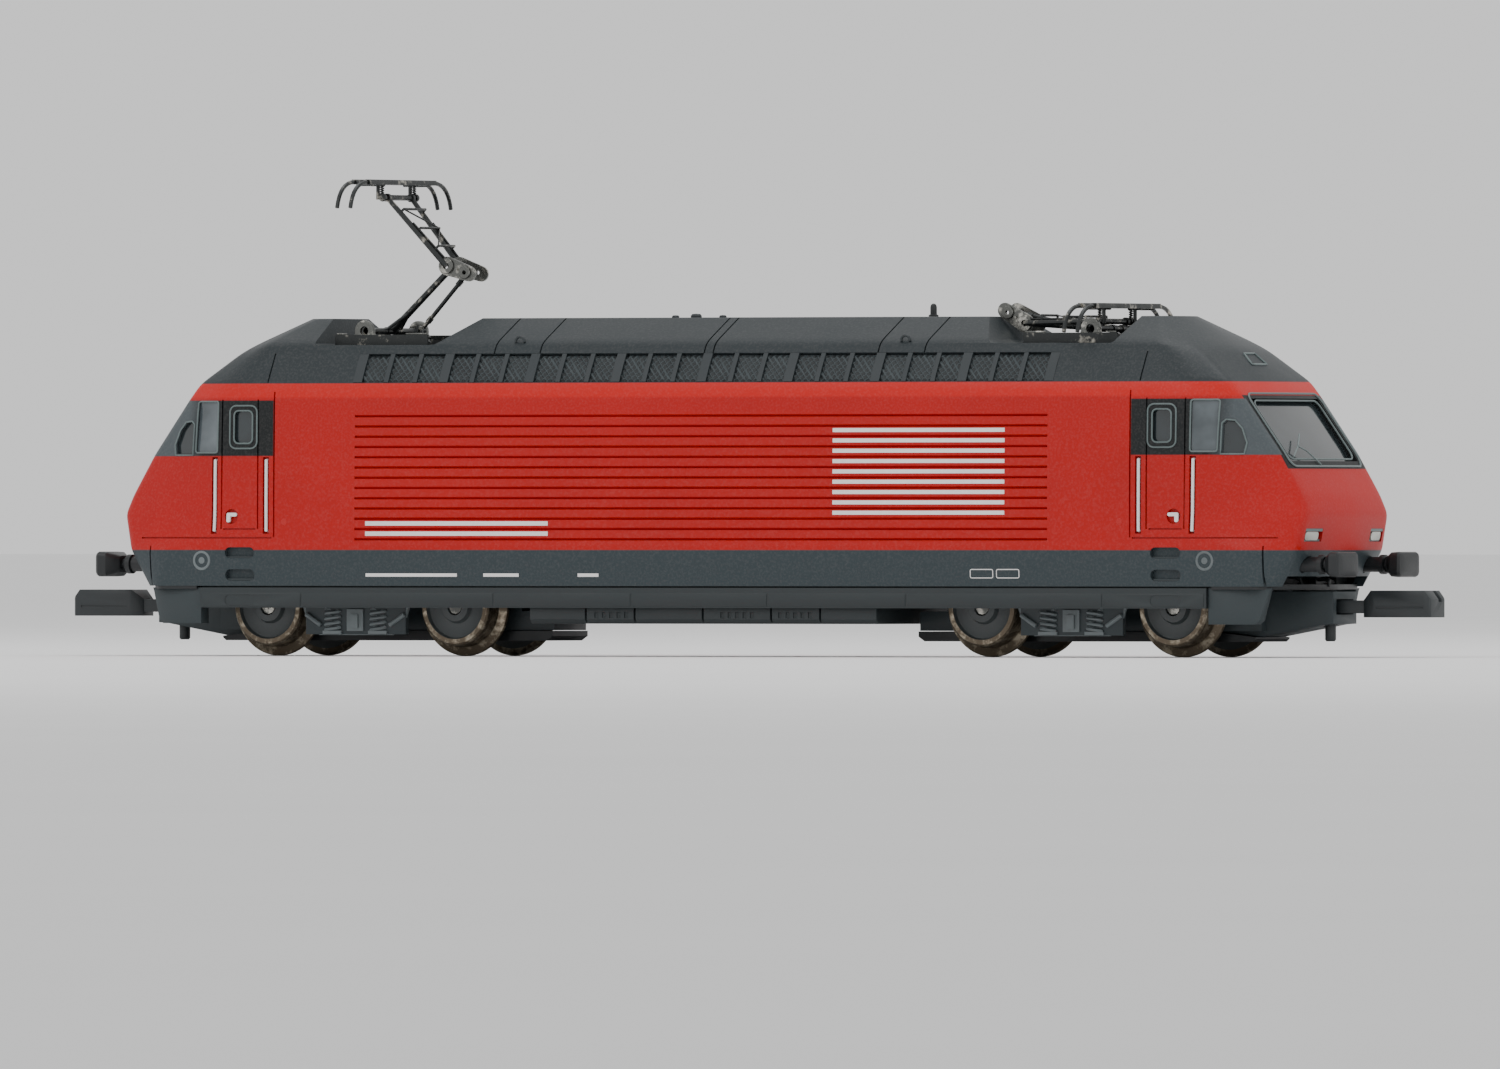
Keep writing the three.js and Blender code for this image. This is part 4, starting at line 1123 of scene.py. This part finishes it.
def make_bogie_frame(sign):
    """Gear housing with its pivot, the arm with the coupler pocket, and the bars above the wheels."""
    slot = SLOT_HALF_WIDTH
    arm = [(8, 0.95), (10.8, 0.63), (14.9, 1.36), (15.5, 1.4), (15.5, 3.3), (8, 3.3)]
    solids = [box(-9.6, 11, -2, 2, 0.95, 4.2), box(-11.8, -9.5, -2, 2, 0.95, 2.1),
              box(-5.6, 5.6, -2, 2, 4.1, 5.4), prism(arm, -1.5, 1.5, "y"),
              moved(lathe([(0, 5.3), (2.85, 5.3), (2.85, 6.4), (0, 6.4)], "z", 32))]
    for side in SIDES:
        solids.append(slab(-7.4, 7.4, side * 4.975, 0.225, 2.62, 3.3))
        solids.append(slab(-3.4, 3.4, side * 4.95, 0.2, 0.7, 2.7))
        solids.append(slab(-2.6, 2.6, side * 3.35, 1.45, 2.6, 4.2))
    frame_mesh = welded(solids)
    pivot = COUPLER_PIVOT - BOGIE_PIVOT
    cuts = [box(-8.6, 8.6, -slot, slot, 0.5, 4.1), box(-5.5, 5.5, -slot, slot, 3, 5.3),
            box(-2.6, 2.6, -slot, slot, 3, 7), box(11.5, 16, -1.1, 1.1, 1.95, 2.85)]
    cuts.append(tube([(pivot, 0, 0), (pivot, 0, 2.2)], 0.45, 20))
    axle, (idler_x, idler_z) = WHEELBASE / 2, IDLER_PLACE
    for x, z, radius in ((-axle, TREAD_RADIUS, 0.47), (axle, TREAD_RADIUS, 0.47),
                         (0, WORM_WHEEL_HEIGHT, 0.35), (-idler_x, idler_z, 0.35), (idler_x, idler_z, 0.35)):
        cuts.append(tube([(x, -2.5, z), (x, 2.5, z)], radius, 16))
    for cut in cuts:
        carve(frame_mesh, [cut])
    return at_end(moved(frame_mesh, BOGIE_PIVOT), sign)


def make_wheel(node):
    """A flanged wheel with a turned tread, a dished disc and a hub."""
    low, high = (np.array(c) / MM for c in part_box(node))
    middle = (low + high) / 2
    back, width = 2.8, 1.7
    face = back + width
    profile = [(0.46, back), (2.5, back), (2.86, back + 0.1), (FLANGE_RADIUS, back + 0.26),
               (2.88, back + 0.4), (2.55, back + 0.5), (2.42, back + 0.58),
               (TREAD_RADIUS + 0.02, back + 0.75),
               (TREAD_RADIUS - 0.05, face - 0.12), (TREAD_RADIUS - 0.15, face), (1.92, face),
               (1.84, face - 0.28), (1.5, face - 0.4), (1.0, face - 0.34), (0.86, face - 0.05), (0.5, face),
               (0.46, face - 0.1)]
    wheel = lathe(profile, "y", 64)
    if middle[1] < 0:
        mirrored(wheel, "y")
    return moved(wheel, middle[0], 0, middle[2] - FLANGE_DEPTH)


def make_coupler(sign):
    """Hook coupler: a head with a sloped nose and a throat, a lifting blade, a shank and its pin."""
    side_line = [(41.2, 1.78), (45.78, 1.78), (45.8, 1.85), (45.8, 2.85), (45.4, 3.36), (41.85, 3.36),
                 (41.2, 2.8)]
    head = prism(side_line, -1, 1, "y")
    plan = [(41.2, -0.6), (41.85, -0.98), (45.7, -0.98), (45.8, -0.88), (45.8, 0.88), (45.7, 0.98),
            (41.85, 0.98), (41.2, 0.6)]
    carve(head, [prism(plan, 1, 4)], "INTERSECT")
    throat = box(42.75, 45.0, -0.42, 0.42, 1.5, 3.6)
    notch = box(45.3, 46.0, 0.1, 0.5, 2.7, 3.6)
    carve(head, [throat, notch])
    carve(head, [slab(42.2, 45.3, side, 0.08, 2.3, 2.42) for side in SIDES])
    blade = prism([(42.9, 2.2), (44.6, 2.2), (44.8, 3.0), (44.3, 3.25), (42.9, 2.7)], -0.2, 0.2, "y")
    cross = tube([(43.6, -0.5, 2.5), (43.6, 0.5, 2.5)], 0.14, 10)
    shank = box(37.5, 41.5, -0.58, 0.58, 2.02, 2.78)
    pin = moved(lathe([(0.0, 0.36), (0.25, 0.36), (0.33, 0.46), (0.33, 2.1), (0.0, 2.1)], "z", 20),
                COUPLER_PIVOT)
    return at_end(joined([head, blade, cross, shank, pin]), sign)


for end, sign in ENDS:
    finish_piece(make_bogie_side(sign), f"bogie_relief_{end}", f"bogie_{end}", BOGIE_GREY)
    finish_piece(make_coupler(sign), f"hook_coupler_{end}", f"coupler_{end}", COUPLER_GREY,
                 [f"coupler_{end}"], bevel=0.03)
    finish_piece(make_bogie_frame(sign), f"bogie_casting_{end}", f"bogie_{end}", SKIRT,
                 [f"bogie_frame_{end}"], bevel=0.03)
    for i in (1, 2):
        for letter in "ab":
            node = f"wheel_{end}_{i}_{letter}"
            wheel = finish_piece(make_wheel(node), f"turned_{node}", f"wheelset_{end}_{i}",
                                 WHEEL, [node])
            wheel.data.materials.append(RIM)
            low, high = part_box(node)
            for polygon in wheel.data.polygons:
                offset = polygon.center - (low + high) / 2
                disc = math.hypot(offset.x, offset.z) < 1.88 * MM
                polygon.material_index = int(disc)


# ------------------------------------------------------------------ pantographs
ARM_PIVOT = Vector((24.5, 0, 18.85))
LOWER_ARM = 5.73
UPPER_ARM = 5.52
RAISED = (42.9, 47.9)
FOLDED = (3.5, 1.0)
TAIL = (-1.135, 0.659)
THRUST_FOOT = Vector((22.229, 0, 18.9))
THRUST_OFFSET = 0.46
HEAD_RISE = 0.75
STRIP_HALF = 0.45
HEAD_SHIFT = 0.35
BASE_FLOOR = WELL_FLOOR + 0.02
BASE_HALF_WIDTH = 3.4


def linkage(attitude):
    """Places of the knee, the head joint and the thrust rod's upper eye, at the front end."""
    lower, upper = (math.radians(a) for a in attitude)
    knee = ARM_PIVOT + Vector((-math.cos(lower), 0, math.sin(lower))) * LOWER_ARM
    head = knee + Vector((math.cos(upper), 0, math.sin(upper))) * UPPER_ARM
    turn = Matrix(((math.cos(upper), -math.sin(upper)), (math.sin(upper), math.cos(upper))))
    offset = turn @ Vector(TAIL)
    return knee, head, knee + Vector((offset.x, 0, offset.y))


def eye(place, inner, outer, y0, y1, sides=28):
    """A flat ring round a joint, across the locomotive."""
    ring = lathe([(inner, y0), (outer - 0.03, y0), (outer, y0 + 0.03), (outer, y1 - 0.03), (outer - 0.03, y1),
                  (inner, y1)], "y", sides)
    return moved(ring, place.x, 0, place.z)


def cross_tube(place, radius, y0, y1, sides=14):
    return tube([(place.x, y0, place.z), (place.x, y1, place.z)], radius, sides)


def coil(start, end, radius, wire, turns):
    """A helical spring between two places."""
    start, end = Vector(start), Vector(end)
    run = (end - start).normalized()
    a = run.orthogonal().normalized()
    b = run.cross(a)
    steps = turns * 10
    points = []
    for i in range(steps + 1):
        t = 2 * math.pi * i / 10
        points.append(start.lerp(end, i / steps) + (a * math.cos(t) + b * math.sin(t)) * radius)
    return tube(points, wire, 6)


def link_plate(a, b, radius_a, radius_b, y0, y1):
    """A flat link that is round at both ends."""
    run = math.atan2(b.z - a.z, b.x - a.x)
    outline = []
    for place, radius, start in ((a, radius_a, run + math.pi / 2), (b, radius_b, run - math.pi / 2)):
        for i in range(9):
            t = start + math.pi * i / 8
            outline.append((place.x + radius * math.cos(t), place.z + radius * math.sin(t)))
    return prism(outline, y0, y1, "y")


def make_pantograph_base():
    """Two angle rails on feet, two channels across them, springs, and the lug of the thrust rod."""
    floor = BASE_FLOOR
    angle = [(3.22, floor), (3.62, floor), (3.62, 18.62), (3.5, 18.62), (3.5, floor + 0.12),
             (3.22, floor + 0.12)]
    foot = [(0.0, floor), (0.34, floor), (0.34, 18.2), (0.2, 18.34), (0.0, 18.34)]
    parts = []
    for side in SIDES:
        parts.append(prism([(side * y, z) for y, z in angle], 20.1, 26.4, "x"))
        for x in (20.6, 26.0):
            parts.append(moved(lathe(foot, "z", 20), x, side * 3.0))
        parts.append(coil((22.7, side * 1.5, 18.32), (25.5, side * 1.5, 18.32), 0.19, 0.055, 12))
        parts.append(tube([(22.5, side * 1.5, 18.32), (25.7, side * 1.5, 18.32)], 0.06, 6))
    for x in (22.3, 25.9):
        section = [(x - 0.3, floor), (x + 0.3, floor), (x + 0.3, 18.34), (x + 0.2, 18.34), (x + 0.2, 18.14),
                   (x - 0.2, 18.14), (x - 0.2, 18.34), (x - 0.3, 18.34)]
        parts.append(prism(section, -BASE_HALF_WIDTH, BASE_HALF_WIDTH, "y"))
    inner = THRUST_OFFSET + 0.23
    stand = THRUST_FOOT.x
    lug = [(stand - 0.35, floor + 0.1), (stand + 0.35, floor + 0.1)]
    lug += arc(stand, THRUST_FOOT.z, 0.26, 0, math.pi, 9)
    parts.append(prism(lug, inner, inner + 0.2, "y"))
    parts.append(cross_tube(THRUST_FOOT, 0.1, inner, inner + 0.34))
    return joined(parts)


def make_base_eyelets():
    """Bright round-topped lugs that hold the arm's cross shaft, and the bright rail edges."""
    parts = []
    for side in SIDES:
        y0, y1 = sorted((side * 3.22, side * 3.48))
        lug = [(23.6, 18.16), (25.4, 18.16)]
        lug += arc(ARM_PIVOT.x, ARM_PIVOT.z, 0.64, -0.2, math.pi + 0.2, 15)
        whole = prism(lug, y0, y1, "y")
        carve(whole, [cross_tube(ARM_PIVOT, 0.27, y0 - 0.2, y1 + 0.2, 24)])
        parts.append(whole)
        for x0, x1 in ((20.2, 21.6), (25.6, 26.3)):
            parts.append(slab(x0, x1, side * 3.56, 0.04, 18.63, 18.72))
    return joined(parts)


def make_lower_arm(knee):
    """The main tube from the cross shaft to the knee, with its two short stays."""
    along = (knee - ARM_PIVOT).normalized()
    parts = [cross_tube(ARM_PIVOT, 0.2, -3.15, 3.15)]
    for side in SIDES:
        parts.append(cross_tube(ARM_PIVOT, 0.26, side * 2.85, side * 3.15))
        parts.append(cross_tube(ARM_PIVOT, 0.25, side * 0.4, side * 0.75))
        stay = [ARM_PIVOT + Vector((0, side * 0.95, 0)),
                ARM_PIVOT + along * 1.5 + Vector((0, side * 0.12, 0))]
        parts.append(tube(stay, 0.1, 8))
    spine = [ARM_PIVOT, ARM_PIVOT + along * 2.0, knee - along * 0.2]
    parts.append(tube(spine, lambda t: 0.22 - 0.03 * t, 14))
    parts.append(cross_tube(knee, 0.26, -0.26, 0.26, 20))
    return joined(parts)


def make_thrust_rod(tail):
    shift = Vector((0, THRUST_OFFSET, 0))
    run = (tail - THRUST_FOOT).normalized()
    parts = [tube([THRUST_FOOT + shift + run * 0.2, tail + shift - run * 0.2], 0.13, 10)]
    for place in (THRUST_FOOT, tail):
        parts.append(eye(place, 0.1, 0.26, THRUST_OFFSET - 0.16, THRUST_OFFSET + 0.16))
    for t in (0.18, 0.82):
        middle = THRUST_FOOT.lerp(tail, t) + shift
        parts.append(tube([middle - run * 0.18, middle + run * 0.18], 0.18, 6))
    return joined(parts)


def make_upper_arm(knee, head):
    """Two beams that spread towards the head, tied by raised hoops and diagonals."""
    run = (head - knee).normalized()
    up = Vector((-run.z, 0, run.x))
    parts = []

    def beam_place(t, side):
        return knee.lerp(head, t) + Vector((0, side * (0.86 + 0.64 * t), 0))

    for side in SIDES:
        parts.append(tube([beam_place(0, side), beam_place(1, side)], lambda t: 0.2 - 0.05 * t, 10))
        parts.append(tube([beam_place(0.02, side) + up * 0.25, beam_place(0.6, side) + up * 0.2], 0.06, 6))
        parts.append(cross_tube(head, 0.25, side * 1.36, side * 1.62))
    bridges = []
    for t, rise in ((0.22, 0.45), (0.5, 0.34), (0.78, 0.32)):
        near, far = beam_place(t, 1), beam_place(t, -1)
        parts.append(tube([near, near + up * rise, far + up * rise, far], 0.08, 8))
        bridges.append((near + up * rise, far + up * rise))
    parts.append(tube([bridges[0][0], bridges[1][1]], 0.05, 6))
    parts.append(tube([bridges[2][0], bridges[1][1]], 0.05, 6))
    parts.append(cross_tube(head, 0.17, -1.65, 1.65))
    return joined(parts)


def make_knee_plates(knee, tail):
    """Bright side plates of the upper arm at the knee, each with two eyes and rivets."""
    parts = []
    for side in SIDES:
        y0, y1 = sorted((side * 0.70, side * 0.84))
        whole = link_plate(knee, tail + (tail - knee) * 0.2, 0.56, 0.46, y0, y1)
        holes = [cross_tube(place, radius, y0 - 0.2, y1 + 0.2, 20)
                 for place, radius in ((knee, 0.2), (tail, 0.14))]
        parts.append(carve(whole, holes))
        a, b = sorted((side * 0.82, side * 0.98))
        parts.append(eye(knee, 0.2, 0.48, a, b))
        parts.append(eye(tail, 0.13, 0.38, a, b))
        middle = knee.lerp(tail, 0.55)
        parts.append(cross_tube(middle, 0.09, side * 0.8, side * 0.93, 10))
    return joined(parts)


def make_head(head):
    """Two contact strips with bent horns, on sprung posts and cross bars."""
    x, z = head.x + HEAD_SHIFT, head.z
    high, flat = z + HEAD_RISE, 4.2
    parts = []
    for end in (-1, 1):
        strip_x = x + end * STRIP_HALF
        section = [(strip_x - 0.2, high + 0.02), (strip_x + 0.2, high + 0.02), (strip_x + 0.2, high + 0.2),
                   (strip_x + 0.13, high + 0.32), (strip_x - 0.13, high + 0.32), (strip_x - 0.2, high + 0.2)]
        parts.append(prism(section, -flat, flat, "y"))
        for side in (-1, 1):
            bend = [(strip_x, side * (flat - 0.3), high + 0.16)]
            a, b, c = Vector((flat, high + 0.16)), Vector((5.9, high + 0.12)), Vector((6.27, high - 1.4))
            for t in np.linspace(0, 1, 9):
                place = curve(a, b, c, t)
                bend.append((strip_x, side * place.x, place.y))
            parts.append(tube(bend, 0.13, 8))
    for side in (-1, 1):
        for y in (2.0, 3.6):
            bar = [(x + end * STRIP_HALF, side * y, high + 0.02) for end in (-1, 1)]
            parts.append(tube(bar, 0.1, 8))
        parts.append(tube([(x, side * 2.0, z - 0.12), (x, side * 2.0, high)], 0.12, 8))
        parts.append(coil((x - 0.28, side * 2.0, z + 0.1), (x - 0.28, side * 2.0, high), 0.1, 0.04, 5))
        parts.append(cross_tube(head, 0.13, side * 1.7, side * 2.12))
        parts.append(eye(head, 0.12, 0.24, *sorted((side * 1.9, side * 2.14))))
    return joined(parts)


for end, sign in ENDS:
    knee, head, tail = linkage(FOLDED if end == "front" else RAISED)
    finish_piece(at_end(make_pantograph_base(), sign), f"collector_base_{end}", "chassis",
                 BURNISHED, [f"pantograph_base_{end}"])
    finish_piece(at_end(make_base_eyelets(), sign), f"base_eyelets_{end}", "chassis",
                 SILVER, bevel=0.02)
    finish_piece(at_end(make_lower_arm(knee), sign), f"lower_tube_{end}", f"lower_arm_{end}",
                 BURNISHED, [f"lower_arm_{end}"])
    finish_piece(at_end(make_thrust_rod(tail), sign), f"thrust_link_{end}", f"thrust_rod_{end}",
                 BURNISHED, [f"thrust_rod_{end}"])
    finish_piece(at_end(make_upper_arm(knee, head), sign), f"upper_frame_{end}", f"upper_arm_{end}",
                 BURNISHED, [f"upper_arm_{end}"])
    finish_piece(at_end(make_knee_plates(knee, tail), sign), f"knee_plates_{end}", f"upper_arm_{end}",
                 SILVER)
    finish_piece(at_end(make_head(head), sign), f"collector_head_{end}", f"pantograph_head_{end}",
                 BURNISHED, [f"pantograph_head_{end}"])


# ------------------------------------------------------------------ CAD parts that stay as they are
NODE_MATERIALS = (
    ("chassis_frame", SILL_GREY), ("bogie_frame", BOGIE_GREY), ("bogie_cover", BLACK),
    ("circuit_board", BOARD), ("board_screw", SILVER), ("motor_can", SILVER), ("armature", BURNISHED),
    ("carbon_brush", CARBON), ("worm_wheel", ACETAL), ("worm", BRASS), ("shaft_bearing", BRASS),
    ("idler_gear", ACETAL), ("geared_axle", SILVER), ("coupler_spring", SILVER),
)

for name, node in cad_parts.items():
    for start, material in NODE_MATERIALS:
        if name.startswith(start):
            node.data.materials.clear()
            node.data.materials.append(material)
            break


# ------------------------------------------------------------------ camera, light and floor
AZIMUTH = math.radians(28.1)
TARGET = Vector((-0.15 * math.cos(AZIMUTH), -0.15 * math.sin(AZIMUTH), 6.67 + FLANGE_DEPTH)) * MM
VIEW_WIDTH = 89.4 * MM
LENS_MM = 800.0
SENSOR_MM = 36.0
FLOOR_HALF = 9


def make_camera():
    data = bpy.data.cameras.new("camera")
    data.lens = LENS_MM
    data.sensor_width = SENSOR_MM
    data.clip_start = 0.01
    data.clip_end = 20
    camera = bpy.data.objects.new("camera", data)
    distance = LENS_MM / SENSOR_MM * VIEW_WIDTH
    back = Vector((math.sin(AZIMUTH), -math.cos(AZIMUTH), 0))
    camera.location = TARGET + back * distance
    camera.rotation_mode = "QUATERNION"
    camera.rotation_quaternion = (-back).to_track_quat("-Z", "Y")
    bpy.context.scene.collection.objects.link(camera)
    bpy.context.scene.camera = camera


def area_light(name, location, size, power):
    """A square soft light that looks at the middle of the locomotive."""
    data = bpy.data.lights.new(name, "AREA")
    data.size = size
    data.energy = power
    light = bpy.data.objects.new(name, data)
    light.location = location
    aim = Vector((0, 0, 0.01)) - Vector(location)
    light.rotation_mode = "QUATERNION"
    light.rotation_quaternion = aim.to_track_quat("-Z", "Y")
    bpy.context.scene.collection.objects.link(light)


def make_studio():
    world = bpy.data.worlds.new("studio")
    world.use_nodes = True
    background = world.node_tree.nodes["Background"]
    background.inputs["Color"].default_value = (1.0, 1.0, 1.0, 1.0)
    background.inputs["Strength"].default_value = 0.9
    bpy.context.scene.world = world
    area_light("key", (-0.15, -0.45, 0.42), 0.3, 0.7)
    area_light("front_fill", (0.5, -0.2, 0.15), 0.2, 0.25)
    area_light("top", (0.0, 0.1, 0.5), 0.3, 0.7)
    half = FLOOR_HALF
    floor = mesh_object([(-half, -half, 0), (half, -half, 0), (half, half, 0), (-half, half, 0)],
                        [(0, 1, 2, 3)], "floor")
    m = Nodes("pale_floor")
    m.link(m.mix(m.noise(0.02), (0.86, 0.86, 0.86), (0.9, 0.9, 0.9)), m.shader.inputs["Base Color"])
    m.shader.inputs["Roughness"].default_value = 0.9
    m.shader.inputs["Specular IOR Level"].default_value = 0.1
    floor.data.materials.append(m.material)


make_camera()
make_studio()
